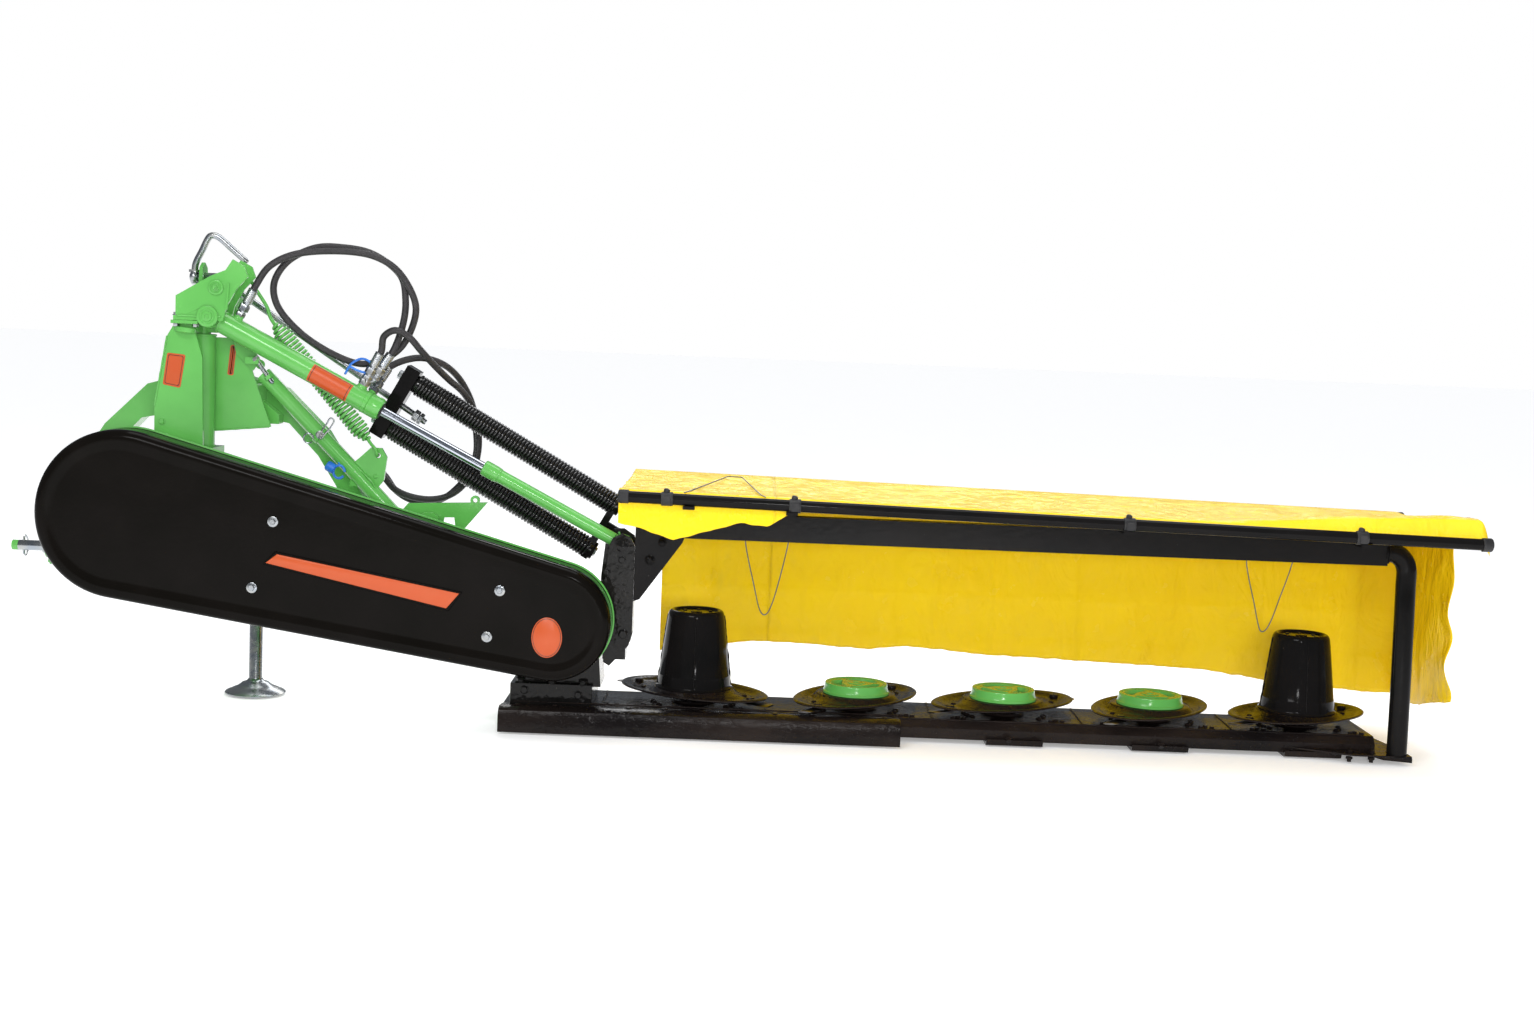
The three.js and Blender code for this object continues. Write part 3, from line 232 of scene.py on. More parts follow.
def enamel(name, colour, shade, roughness, lumps=0.0, chips=0.0, level=0.5, dusty=0.05):
    """Sprayed gloss enamel: orange peel, slow tone changes, runs and a few chips."""
    finish = Finish(name, colour, roughness, Specular_IOR_Level=level)
    tone = finish.cloud(7.0, 4.0).held(0.3, 0.7)
    film = finish.cloud(42.0, 5.0)
    body = finish.mixed(tone * 0.8, colour, shade)
    dust = finish.cloud(3.1, 6.0, rough=0.65).held(0.52, 0.78)
    body = finish.mixed(dust * dusty, body, (0.42, 0.39, 0.33))
    if chips:
        spots, where = finish.cloud(150.0, 3.0, warp=0.6), finish.cloud(9.0)
        bare = spots.held(0.735, 0.75) * where.held(0.5, 0.62)
        body = finish.mixed(bare * chips, body, (0.30, 0.29, 0.27))
    peel = finish.cloud(420.0, 2.0) * 0.02 + finish.cloud(85.0, 2.0) * 0.15
    if lumps:
        peel = peel + finish.cloud(38.0, 3.0, warp=0.4) * lumps + finish.cells(70.0) * lumps * 0.4
    return finish.surface(body, film * 0.08 + (roughness - 0.04) + dust * 0.06, peel, 0.0010)


def plated(name, colour, tint, roughness, grain=0.5):
    """Zinc or chrome plate: patchy tint, fine draw lines and a little dulling."""
    finish = Finish(name, colour, roughness, 1.0)
    patches = finish.cloud(34.0, 5.0, warp=0.5).held(0.32, 0.7)
    dull = finish.cloud(11.0, 6.0, rough=0.7).held(0.45, 0.75)
    lines = finish.cloud(260.0, 2.0, finish.stretched(1.0, 1.0, 0.12))
    return finish.surface(
        finish.mixed(patches, colour, tint), patches * 0.10 + dull * 0.14 + (roughness - 0.06),
        lines * grain + finish.cloud(300.0, 2.0) * 0.2, 0.00012)


def moulded(name, colour, shade, roughness):
    """Moulded plastic or rubber with a fine grain and rubbed, paler patches."""
    finish = Finish(name, colour, roughness, Specular_IOR_Level=0.4)
    rubbed = finish.cloud(22.0, 5.0, rough=0.65).held(0.42, 0.72)
    return finish.surface(
        finish.mixed(rubbed, colour, shade), rubbed * 0.12 + (roughness - 0.04),
        finish.cloud(400.0, 3.0) * 0.7 + finish.cells(320.0) * 0.4, 0.0006)


def braided_rubber():
    """Hose cover: spiral marks of its cloth wrapping, under a chalky bloom."""
    finish = Finish("hose_rubber", (0.012, 0.011, 0.012), 0.55)
    bloom = finish.cloud(28.0, 6.0, rough=0.7).held(0.4, 0.75)
    ribs = finish.along("X") * 900.0 + finish.along("Z") * 1300.0 + finish.along("Y") * 700.0
    return finish.surface(
        finish.mixed(bloom * 0.5, (0.010, 0.009, 0.010), (0.045, 0.040, 0.042)), bloom * 0.2 + 0.42,
        ribs.sine() * 0.5 + finish.cloud(600.0, 2.0), 0.0004)


def coated_cloth():
    """Yellow coated fabric: its scrim shows through the film, with rucks and smudges."""
    yellow, deep = (0.92, 0.64, 0.004), (0.85, 0.53, 0.003)
    finish = Finish("canopy_cloth", yellow, 0.38, Specular_IOR_Level=0.45)
    tone = finish.cloud(2.6, 5.0, rough=0.6).held(0.32, 0.72)
    smudge = finish.cloud(9.0, 7.0, finish.stretched(1.0, 1.0, 0.45), rough=0.7).held(0.60, 0.82)
    body = finish.mixed(tone * 0.6, yellow, deep)
    threads = (finish.along("X") * 3900.0).sine() + (finish.along("Z") * 3900.0).sine()
    folds = finish.cloud(7.5, 4.0, finish.stretched(1.0, 1.0, 0.55), warp=1.1) ** 2.0
    rucks = finish.cloud(21.0, 3.0, finish.stretched(1.0, 1.0, 0.5), rough=0.45, warp=0.6)
    return finish.surface(
        finish.mixed(smudge * 0.22, body, (0.55, 0.42, 0.06)),
        finish.cloud(16.0, 5.0) * 0.18 + 0.16,
        threads * 0.055 + folds * 7.0 + rucks * 2.2 + finish.cloud(60.0, 3.0) * 0.3, 0.0034)


def printed(name, colour, shade):
    """Blank printed vinyl, slightly faded and scuffed."""
    finish = Finish(name, colour, 0.34)
    faded = finish.cloud(26.0, 5.0, rough=0.65).held(0.40, 0.75)
    return finish.surface(finish.mixed(faded, colour, shade), finish.cloud(60.0, 3.0) * 0.2 + 0.24,
                          finish.cloud(300.0, 2.0), 0.0002)


def bar_enamel():
    """Thick black enamel on the cutter bar: runs, weld spatter and brownish dust film."""
    finish = Finish("bar_enamel", (0.006, 0.005, 0.005), 0.2, IOR=1.22)
    film = finish.cloud(5.0, 6.0, finish.stretched(0.5, 1.6, 1.6), rough=0.62).held(0.38, 0.74)
    body = finish.mixed(film * 0.7, (0.005, 0.004, 0.004), (0.022, 0.015, 0.012))
    spatter = finish.cells(120.0).held(0.0, 0.28) * -0.9
    runs = finish.cloud(26.0, 4.0, warp=0.5) * 2.0
    return finish.surface(body, film * 0.16 + finish.cloud(48.0) * 0.08 + 0.07,
                          runs + spatter + finish.cloud(300.0) * 0.25, 0.0014)


GREEN = enamel("green_enamel", (0.094, 0.345, 0.070), (0.068, 0.27, 0.050), 0.17, chips=0.5)
BLACK = enamel("black_enamel", (0.004, 0.004, 0.004), (0.007, 0.006, 0.006), 0.10, chips=0.12,
               level=0.08, dusty=0.006)
CAST = enamel("black_cast", (0.004, 0.004, 0.004), (0.009, 0.008, 0.007), 0.12, lumps=1.6,
              chips=0.25, level=0.19, dusty=0.01)
GUARD = enamel("guard_plastic", (0.003, 0.0026, 0.002), (0.005, 0.004, 0.0035), 0.12, level=0.05,
               dusty=0.003)
BAR = bar_enamel()
ZINC = plated("zinc_plate", (0.31, 0.34, 0.38), (0.42, 0.42, 0.40), 0.27)
CHROME = plated("hard_chrome", (0.52, 0.55, 0.61), (0.46, 0.49, 0.55), 0.11, grain=0.15)
STEEL = plated("bare_steel", (0.17, 0.17, 0.18), (0.11, 0.10, 0.09), 0.36)
SLEEVE = enamel("spring_enamel", (0.005, 0.005, 0.005), (0.010, 0.009, 0.009), 0.09, level=0.6,
                dusty=0.01)
RUBBER = moulded("tie_rubber", (0.010, 0.010, 0.011), (0.030, 0.028, 0.028), 0.55)
BLUE = moulded("blue_plastic", (0.012, 0.10, 0.42), (0.03, 0.16, 0.50), 0.35)
ORANGE = printed("orange_print", (0.38, 0.052, 0.005), (0.38, 0.058, 0.008))
INK = printed("black_print", (0.010, 0.009, 0.009), (0.03, 0.022, 0.018))
HOSE = braided_rubber()
CLOTH = coated_cloth()


# ---- Shapes ----------------------------------------------------------------
def square_to(way):
    """Two unit vectors square to a direction."""
    way = Vector(way).normalized()
    side = way.cross(AHEAD if abs(way.y) < 0.9 else UP).normalized()
    return side, way.cross(side)


def arc(centre, u, v, steps, count=None):
    """Points round a circle or ellipse: count of them, at steps to the full turn."""
    angles = (2 * pi * k / steps for k in range(count or steps))
    return [Vector(centre) + u * cos(a) + v * sin(a) for a in angles]


def share(value, low, high):
    """How far a value is from low towards high, held between 0 and 1."""
    return min(max((value - low) / (high - low), 0.0), 1.0)


def eased(t):
    return t * t * (3 - 2 * t)


def swell(value, centre, width):
    """A smooth rise to 1 at the centre."""
    return exp(-((value - centre) / width) ** 2)


def centripetal(points, per_span=8):
    """Smooth route through points, with no overshoot at tight places."""
    pts = [Vector(p) for p in points]
    pts = [pts[0] * 2 - pts[1]] + pts + [pts[-1] * 2 - pts[-2]]
    route = []
    for i in range(1, len(pts) - 2):
        p0, p1, p2, p3 = pts[i - 1:i + 3]
        d0, d1, d2 = (max((b - a).length, 1e-6) ** 0.5 for a, b in ((p0, p1), (p1, p2), (p2, p3)))
        m1 = ((p1 - p0) / d0 - (p2 - p0) / (d0 + d1) + (p2 - p1) / d1) * d1
        m2 = ((p2 - p1) / d1 - (p3 - p1) / (d1 + d2) + (p3 - p2) / d2) * d1
        for k in range(per_span):
            t = k / per_span
            route.append(p1 + m1 * t + (p1 * -3 + p2 * 3 - m1 * 2 - m2) * t ** 2
                         + (p1 * 2 - p2 * 2 + m1 + m2) * t ** 3)
    route.append(pts[-2])
    return route


class Shell:
    """The faces of one piece, gathered in drawing millimetres."""

    def __init__(self):
        self.points, self.faces, self.slots = [], [], []
        self.slot = 0

    def face(self, corners):
        self.faces.append(corners)
        self.slots.append(self.slot)

    def loft(self, rings, closed=True, caps=True):
        """Skin over rings of equal length; a ring of one point is a pole."""
        starts = []
        for ring in rings:
            starts.append(len(self.points))
            self.points += [Vector(p) for p in ring]
        for (a, ring_a), (b, ring_b) in zip(zip(starts, rings), zip(starts[1:], rings[1:])):
            n = max(len(ring_a), len(ring_b))
            for i in range(n if closed else n - 1):
                j = (i + 1) % n
                corners = [a + i % len(ring_a), a + j % len(ring_a),
                           b + j % len(ring_b), b + i % len(ring_b)]
                self.face(list(dict.fromkeys(corners)))
        if caps and closed:
            for start, ring in ((starts[0], rings[0]), (starts[-1], rings[-1])):
                if len(ring) > 2:
                    self.face(list(range(start, start + len(ring))))
        return self

    def lathe(self, profile, base, way, sides=32):
        """Turned shape: [radius, height] pairs up an axis."""
        side, other = square_to(way)
        way, base = Vector(way).normalized(), Vector(base)
        rings = []
        for radius, height in profile:
            centre = base + way * height
            rings.append(arc(centre, side * radius, other * radius, sides) if radius else [centre])
        return self.loft(rings)

    def sweep(self, route, radius, sides=12, round_ends=False):
        """Round bar along a route; radius is a number or one for each point."""
        route = [Vector(p) for p in route]
        radii = radius if hasattr(radius, "__len__") else [radius] * len(route)
        side, other = square_to(route[1] - route[0])
        was, rings = (route[1] - route[0]).normalized(), []
        for i, point in enumerate(route):
            ahead = route[min(i + 1, len(route) - 1)] - route[max(i - 1, 0)]
            ahead.normalize()
            turn = was.rotation_difference(ahead)
            side, other, was = turn @ side, turn @ other, ahead
            rings.append(arc(point, side * radii[i], other * radii[i], sides))
        if round_ends:
            for end, inner in ((0, 1), (-1, -2)):
                out = (route[end] - route[inner]).normalized()
                more = []
                for bend in (30, 60, 80):
                    rise, inwards = sin(radians(bend)), cos(radians(bend))
                    more.append([route[end] + out * radii[end] * rise + (p - route[end]) * inwards
                                 for p in rings[end]])
                rings = (more[::-1] + rings) if end == 0 else (rings + more)
        return self.loft(rings)

    def block(self, x, y, z):
        corners = ((x[0], y[0]), (x[1], y[0]), (x[1], y[1]), (x[0], y[1]))
        return self.loft([[(*corner, height) for corner in corners] for height in z])

    def turned_about(self, start, x, y, degrees):
        """Turns the points added since start round an upright axis."""
        spin, centre = Matrix.Rotation(radians(degrees), 3, "Z"), Vector((x, y, 0))
        for i in range(start, len(self.points)):
            self.points[i] = spin @ (self.points[i] - centre) + centre


def piece(name, shell, body, finishes, replaces=(), bevel=0.0, smooth=38, open_sheet=False):
    """Makes the piece, gives it its finishes and puts it on its body."""
    mesh = bpy.data.meshes.new(name)
    mesh.from_pydata([at(*p) for p in shell.points], [], shell.faces)
    finishes = finishes if isinstance(finishes, (list, tuple)) else [finishes]
    for finish in finishes:
        mesh.materials.append(finish)
    if len(finishes) > 1:
        mesh.polygons.foreach_set("material_index", shell.slots)
    work = bmesh.new()
    work.from_mesh(mesh)
    bmesh.ops.remove_doubles(work, verts=work.verts, dist=1e-6)
    if not open_sheet:
        bmesh.ops.recalc_face_normals(work, faces=work.faces)
    work.to_mesh(mesh)
    work.free()
    obj = bpy.data.objects.new(name, mesh)
    bpy.context.scene.collection.objects.link(obj)
    shade(obj, smooth)
    if bevel:
        soften(obj, bevel)
    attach(obj, body)
    if replaces:
        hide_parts(*replaces)
    return obj


def shade(obj, degrees):
    mesh = obj.data
    mesh.polygons.foreach_set("use_smooth", [True] * len(mesh.polygons))
    mesh.set_sharp_from_angle(angle=radians(degrees))
    mesh.update()


def soften(obj, width, degrees=32):
    """Small rounded edges, as cut and painted plate has."""
    edge = obj.modifiers.new("edges", "BEVEL")
    edge.width, edge.segments = width * MM, 2
    edge.limit_method, edge.angle_limit = "ANGLE", radians(degrees)
    edge.use_clamp_overlap = True
    edge.harden_normals = True


def dress(node, finish, bevel=1.6, smooth=32):
    """Keeps a frame node, with its finish and softened edges."""
    obj = frame["nodes"][node]
    mesh = obj.data
    mesh.materials.clear()
    mesh.materials.append(finish)
    if "custom_normal" in mesh.attributes:
        mesh.attributes.remove(mesh.attributes["custom_normal"])
    shade(obj, smooth)
    join = obj.modifiers.new("joined", "WELD")
    join.merge_threshold = 0.00002
    if bevel:
        soften(obj, bevel)


def hexagon(shell, centre, way, across, height):
    """Hexagon head with its top corners turned off."""
    r = across / sqrt(3)
    shell.lathe([(r, 0), (r, height * 0.82), (r * 0.9, height), (0, height)],
                centre, way, sides=6)


def bolt(shell, centre, way, size, washer=True):
    """Bolt head of a thread size, on its washer."""
    way, centre = Vector(way).normalized(), Vector(centre)
    rise = 0.0
    if washer:
        rise = size * 0.2
        shell.lathe([(0, 0), (size * 1.15, 0), (size * 1.15, rise * 0.8), (size * 1.05, rise),
                     (0, rise)], centre, way, sides=20)
    hexagon(shell, centre + way * rise, way, size * 1.6, size * 0.68)


BEAD_STEP = 2.2


def weld(shell, route, radius=3.2, wobble=0.25):
    """Hand-laid weld bead: overlapping ripples along a joint."""
    route = [Vector(p) for p in route]
    dense = []
    for a, b in zip(route, route[1:]):
        count = max(2, int((b - a).length / BEAD_STEP))
        dense += [a.lerp(b, k / count) for k in range(count)]
    dense.append(route[-1])
    radii = []
    for i, p in enumerate(dense):
        scale = 0.5 + 0.5 * cos(2 * pi * i / 2.6)
        radii.append(radius * (0.82 + 0.22 * scale + noise.noise(p * 0.06) * wobble))
    radii[0] = radii[-1] = radius * 0.4
    shell.sweep(dense, radii, sides=7)


def beads(*rows):
    """Weld beads, each given as its radius and then its route."""
    shell = Shell()
    for radius, *route in rows:
        weld(shell, route, radius)
    return shell


def bent_rod(shell, points, radius, sides, per_span=6):
    """Round bar bent through points, with round ends."""
    shell.sweep(centripetal(points, per_span), radius, sides=sides, round_ends=True)


# ---- Hoses -----------------------------------------------------------------
CYL_BASE, CYL_EYE, CYL_Y = Vector((-1289, 0, 1047)), Vector((-198, 0, 490)), -105
CYL_WAY = (CYL_EYE - CYL_BASE).normalized()
CYL_UP = Vector((-CYL_WAY.z, 0, CYL_WAY.x))
HOSE_RADIUS = 9
SEAT = 0.3


def cylinder_point(distance, side=0.0, y=CYL_Y):
    """A point along the lift cylinder from its base pin, and to its upper side."""
    p = CYL_BASE + CYL_WAY * distance + CYL_UP * side
    return Vector((p.x, y, p.z))


def beyond(point, way, distance):
    return Vector(point) + Vector(way).normalized() * distance


BASE_MOUTH = cylinder_point(62, 50)
ROD_MOUTH = cylinder_point(428, 66)
LOOP_MOUTH = Vector((ROD_MOUTH.x + 20, CYL_Y + 12, ROD_MOUTH.z + 2))
LOOP_WAY = Vector((0.54, 0, 0.84)).normalized()
FAR_MOUTH = cylinder_point(455, 43, CYL_Y + 26)
FAR_WAY = Vector((0.4, 0.5, 0.77)).normalized()
COUPLER_AT, COUPLER_Y = Vector((-905, 0, 634)), (96, 124)
coupler_end = lambda y: [(COUPLER_AT.x + 26, y, COUPLER_AT.z - 0.5),
                         (COUPLER_AT.x + SEAT, y, COUPLER_AT.z)]
LOOP_ROUTE = [
    beyond(BASE_MOUTH, CYL_UP, SEAT), beyond(BASE_MOUTH, CYL_UP, 40),
    beyond(BASE_MOUTH, CYL_UP, 78), (-1144, -106, 1180), (-1090, -104, 1212), (-1000, -98, 1228),
    (-880, -96, 1222), (-816, -94, 1190), (-776, -90, 1136), (-762, -83, 1090), (-772, -74, 1040),
    (-802, -68, 985), (-850, -68, 950), (-905, -76, 938), (-985, -86, 965), (-1070, -88, 1020),
    (-1125, -88, 1085), (-1134, -84, 1140), (-1102, -80, 1196), (-1030, -74, 1236),
    (-960, -72, 1240), (-880, -70, 1226), (-806, -70, 1172), (-790, -80, 1110), (-793, -90, 1050),
    beyond(LOOP_MOUTH, LOOP_WAY, 78), beyond(LOOP_MOUTH, LOOP_WAY, 40),
    beyond(LOOP_MOUTH, LOOP_WAY, SEAT)]
LINE_ROUTE_1 = [
    beyond(ROD_MOUTH, CYL_UP, SEAT), beyond(ROD_MOUTH, CYL_UP, 40), beyond(ROD_MOUTH, CYL_UP, 70),
    (-838, -116, 1012), (-806, -128, 1030), (-772, -122, 1014), (-742, -100, 978),
    (-712, -52, 938), (-685, 5, 903), (-654, 58, 868), (-630, 86, 825), (-617, 92, 780),
    (-614, 92, 709), (-627, 92, 656), (-660, 92, 606), (-699, 92, 580), (-746, 92, 571),
    (-804, 93, 579), (-841, 94, 596), *coupler_end(COUPLER_Y[0])]
LINE_ROUTE_2 = [
    beyond(FAR_MOUTH, FAR_WAY, SEAT), beyond(FAR_MOUTH, FAR_WAY, 22),
    (-840, -48, 926), (-811, -28, 946), (-764, -6, 958), (-717, 28, 948), (-680, 72, 918),
    (-652, 104, 872), (-634, 113, 825), (-626, 114, 775), (-622, 114, 705), (-638, 113, 648),
    (-668, 113, 608), (-708, 113, 574), (-750, 114, 562), (-800, 116, 566), (-842, 120, 590),
    *coupler_end(COUPLER_Y[1])]


def run_length(points):
    return sum((b - a).length for a, b in zip(points, points[1:]))


def make_hose(name, points, node):
    route = centripetal(points, 9)
    hose = piece(name, Shell().sweep(route, HOSE_RADIUS, sides=18), "barrel", HOSE, (node,))
    return hose, [at(*p) for p in route]


def declare(hose, path, pieces=()):
    tuple(path[0])
    round(run_length(path), 3)
    [tuple(p) for p in path]
    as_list(pieces)


loop, loop_path = make_hose("hose_loop_rubber", LOOP_ROUTE, "hose_loop")
line_1, line_1_path = make_hose("hose_line_rubber_1", LINE_ROUTE_1, "hose_line_1")
line_2, line_2_path = make_hose("hose_line_rubber_2", LINE_ROUTE_2, "hose_line_2")


def ferrule(shell, mouth, way):
    """Crimped zinc end of a hose, its swivel nut and the port's adaptor."""
    way, mouth = Vector(way).normalized(), Vector(mouth)
    hexagon(shell, mouth - way * 14, way, 23, 12)
    shell.lathe([(10.2, -3), (10.2, 2), (12.4, 2.6), (12.4, 4)], mouth, way, sides=20)
    hexagon(shell, mouth + way * 3, way, 25, 17)
    crimp = [(0, 19), (9.4, 19), (9.4, 24), (12.6, 25)]
    for k in range(7):
        crimp += [(radius, height + k * 5) for radius, height in (
            (13.0, 27), (12.2, 28.6), (12.2, 30.2), (13.0, 31.4))]
    shell.lathe(crimp + [(12.6, 63), (11.2, 65), (0, 65)], mouth, way, sides=24)


ends = Shell()
for mouth, way in ((BASE_MOUTH, CYL_UP), (ROD_MOUTH, CYL_UP), (LOOP_MOUTH, LOOP_WAY),
                   (FAR_MOUTH, FAR_WAY)):
    ferrule(ends, mouth, way)
hose_ends = piece("hose_ferrules", ends, "barrel", ZINC)
coupler_sockets = []
for number, y in enumerate(COUPLER_Y, 1):
    sockets, mouth = Shell(), (COUPLER_AT.x, y, COUPLER_AT.z)
    sockets.lathe([(0, 34), (9.4, 34), (12.4, 33), (13, 31), (12.2, 29), (12.2, 26), (13, 24),
                   (12.2, 22), (12.2, 19), (13, 17), (12.2, 15), (12.4, 4), (0, 3)],
                  mouth, ALONG, sides=22)
    sockets.lathe([(0, 3.5), (12, 3.5), (14.2, 1.5), (14.2, -10), (12.6, -12), (12.6, -17),
                   (14.2, -19), (14.2, -30), (12.4, -33), (0, -33)], mouth, ALONG, sides=26)
    coupler_sockets.append(piece("hose_coupling_%d" % number, sockets, "swing", ZINC))
declare(loop, loop_path, [hose_ends])
declare(line_1, line_1_path, coupler_sockets[:1])
declare(line_2, line_2_path, coupler_sockets[1:])


def hang_between(hose, path):
    """Takes the line off its body and bakes its place into its mesh."""
    hose.parent = None
    del hose["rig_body"]
    tuple(path[18])
    tuple(path[-27])
    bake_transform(hose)


hang_between(line_1, line_1_path)
hang_between(line_2, line_2_path)

tie = Shell()
bent_rod(tie, [(-940, -100, 912), (-925, -96, 938), (-899, -92, 952), (-878, -92, 944),
                (-872, -96, 925), (-886, -102, 917), (-908, -106, 922), (-928, -104, 930),
                (-936, -100, 921)], 3.2, 8)
piece("hose_tie_cord", tie, "barrel", BLUE)


# ---- Frame nodes that keep their shape -------------------------------------
for node in ("hitch_frame", "mast_frame", "pivot_post", "swivel_head", "carrier_arm",
             "brace_strut", "transport_hook"):
    dress(node, GREEN)
for node in ("spring_hanger", "spring_yoke", "canopy_frame"):
    dress(node, BLACK)
for node in ("bevel_gearbox", "lift_lever"):
    dress(node, CAST, bevel=2.6)
for node in ("cutter_bar", "rear_lip", "skid_shoe_1", "skid_shoe_2", "skid_shoe_3",
             "skid_shoe_4", "outer_shoe"):
    dress(node, BAR, bevel=1.4)

# ---- Belt guard ------------------------------------------------------------
DRIVE, LIFT = Vector((-1469, 0, 537)), Vector((-362, 0, 300))
GUARD_LARGE, GUARD_SMALL, GUARD_RIM, GUARD_FACE = 217, 150, -196.3, -300


def belt_outline(inset, y):
    """Points round both pulleys and their tangents, set in by a distance."""
    large, small = GUARD_LARGE - inset, GUARD_SMALL - inset
    run = LIFT - DRIVE
    slope = atan2(run.z, run.x)
    spread = acos((large - small) / run.length)
    ring = []
    for centre, radius, first, last in ((DRIVE, large, slope + spread, slope - spread + 2 * pi),
                                        (LIFT, small, slope - spread, slope + spread)):
        for k in range(49):
            a = first + (last - first) * k / 48
            ring.append(Vector((centre.x + radius * cos(a), y, centre.z + radius * sin(a))))
    return ring


def make_guard():
    edge = 24
    inner = [(edge + 30, GUARD_FACE + 5), (edge, GUARD_FACE + 6), (4, GUARD_FACE + edge + 6),
             (4, GUARD_RIM)]
    outer = [(0, GUARD_RIM), (1.5, GUARD_RIM - 2), (1.5, GUARD_RIM - 14), (0, GUARD_RIM - 17),
             (0, GUARD_FACE + edge + 6)]
    for degrees in range(10, 91, 10):
        a = radians(degrees)
        outer.append((edge * (1 - cos(a)), GUARD_FACE + edge * (1 - sin(a))))
    outer += [(edge + 12, GUARD_FACE + 0.4), (edge + 14, GUARD_FACE + 1.4),
              (edge + 30, GUARD_FACE + 1.4)]
    shell = Shell().loft([belt_outline(*step) for step in inner + outer])
    piece("belt_guard_shell", shell, "swing", GUARD, ("belt_guard",), smooth=50)


make_guard()

trim = Shell()
for x, z in ((-1075, 536), (-1126, 365), (-495, 382), (-525, 262)):
    trim.lathe([(0, 0), (13.5, 0), (13.5, 1.4), (12.4, 2.0), (0, 2.0)], (x, GUARD_FACE + 1.6, z),
               BACK, sides=24)
    hexagon(trim, (x, GUARD_FACE - 0.4, z), BACK, 14, 7)
piece("guard_bolts", trim, "swing", ZINC)


OVAL_AT, OVAL_WIDE, OVAL_TALL = (-372, 266), 39, 52
badge = Shell()
for number, inset, back, front in ((0, 0, 2, 0.6), (1, 2.6, 1.6, 0.3), (0, 4.2, 1.4, 0)):
    badge.slot = number
    badge.loft([arc((OVAL_AT[0], GUARD_FACE + depth, OVAL_AT[1]),
                    ALONG * (OVAL_WIDE - inset - shrink), UP * (OVAL_TALL - inset - shrink), 56)
                for shrink, depth in ((0, back), (0, front + 0.3), (0.4, front))])
piece("guard_oval_decal", badge, "swing", [ORANGE, INK])


def slanted_bar(left, right, tall_left, tall_right, y0, y1, lean=12):
    """Raised blank bar along the guard, rounded at its edges."""
    left, right = Vector((left[0], 0, left[1])), Vector((right[0], 0, right[1]))
    way = (right - left).normalized()
    up = Vector((-way.z, 0, way.x))
    rings = []
    for inset, y in ((0, y0), (0, y1 + 2.6), (0.8, y1 + 1.0), (2.4, y1)):
        ring = []
        for along, rise, tall in ((0, -1, tall_left), (1, -1, tall_right), (1, 1, tall_right),
                                  (0, 1, tall_left)):
            base = left.lerp(right, along) + way * (inset if along == 0 else -inset)
            p = base + up * rise * (tall / 2 - inset) + way * rise * lean
            ring.append((p.x, y, p.z))
        rings.append(ring)
    return Shell().loft(rings)


stripe = slanted_bar((-1083, 444), (-607, 350), 40, 56, GUARD_FACE + 2, GUARD_FACE - 3.4)
piece("guard_stripe_border", stripe, "swing", GUARD, bevel=1.0)
stripe = slanted_bar((-1077, 442.5), (-613, 351.5), 30, 46, GUARD_FACE - 2, GUARD_FACE - 4.6)
piece("guard_stripe", stripe, "swing", ORANGE)

# ---- Swing post, swivel and hitch ------------------------------------------
LABEL_ROUND, LABEL_THICK = 5.0, 0.6


def label(name, body, corners, y, border=4.0):
    """Blank label with rounded corners and a thin printed line inside its edge."""
    corners = [Vector((x, 0, z)) for x, z in corners]

    def ring(inset, depth):
        out = []
        for i, here in enumerate(corners):
            a = (corners[i - 1] - here).normalized()
            b = (corners[(i + 1) % len(corners)] - here).normalized()
            core = here + (a + b) * (inset + LABEL_ROUND)
            for w in (0, 0.2, 0.4, 0.6, 0.8, 1):
                p = core - (b * (1 - w) + a * w).normalized() * LABEL_ROUND
                out.append((p.x, depth, p.z))
        return out

    shell = Shell()
    for number, inset, lift in ((0, 0, 0), (1, border, 0.12), (0, border + 1.6, 0.24)):
        shell.slot = number
        shell.loft([ring(inset, y + 0.3), ring(inset, y - LABEL_THICK - lift)])
    piece(name, shell, body, [ORANGE, INK], smooth=25)


label("post_decal", "swing", [(-1409, 866), (-1363, 858), (-1350, 945), (-1398, 949)], -128.1)
label("mast_decal", "headstock", [(-1267, 894), (-1251, 892), (-1243, 974), (-1259, 973)],
      -32.1, 3.0)

POST_FACE = -128                                   # y of the swing post's near side
green_bits, zinc_bits = Shell(), Shell()
for centre, radius in (((-1268, -151, 1122), 20), (CYL_BASE + Vector((0, -153, 0)), 28)):
    green_bits.lathe([(radius, -2), (radius, 1.2), (radius - 2, 3), (radius * 0.72, 3.4),
                      (radius * 0.68, 1.6), (radius * 0.5, 1.6), (radius * 0.46, 4.6),
                      (radius * 0.22, 5.2), (radius * 0.2, 3.2), (0, 3.2)],
                     centre, BACK, sides=36)
green_bits.loft([[(x, y, z) for x, z in ((-1243, 1066), (-1237, 1066), (-1232, 1134),
                                         (-1238, 1136))] for y in (-152, -147.9)])
green_bits.block((-1384, -1314), (-150, -24), (1026, 1034.8))
green_bits.lathe([(24, 0), (27, 2), (27, 12), (24, 14)], (-1350, -134, 1003), (0.08, 0, 1),
                 sides=28)
for x in (-1372, -1322):
    bolt(zinc_bits, (x, -138, 1047.2), UP, 9)
    hexagon(zinc_bits, (x, -138, 1026), DOWN, 15, 8)
bolt(green_bits, (-1410, POST_FACE, 770), BACK, 8)
for x in (-1402, -1312):
    bolt(green_bits, (x, POST_FACE, 566), BACK, 10)
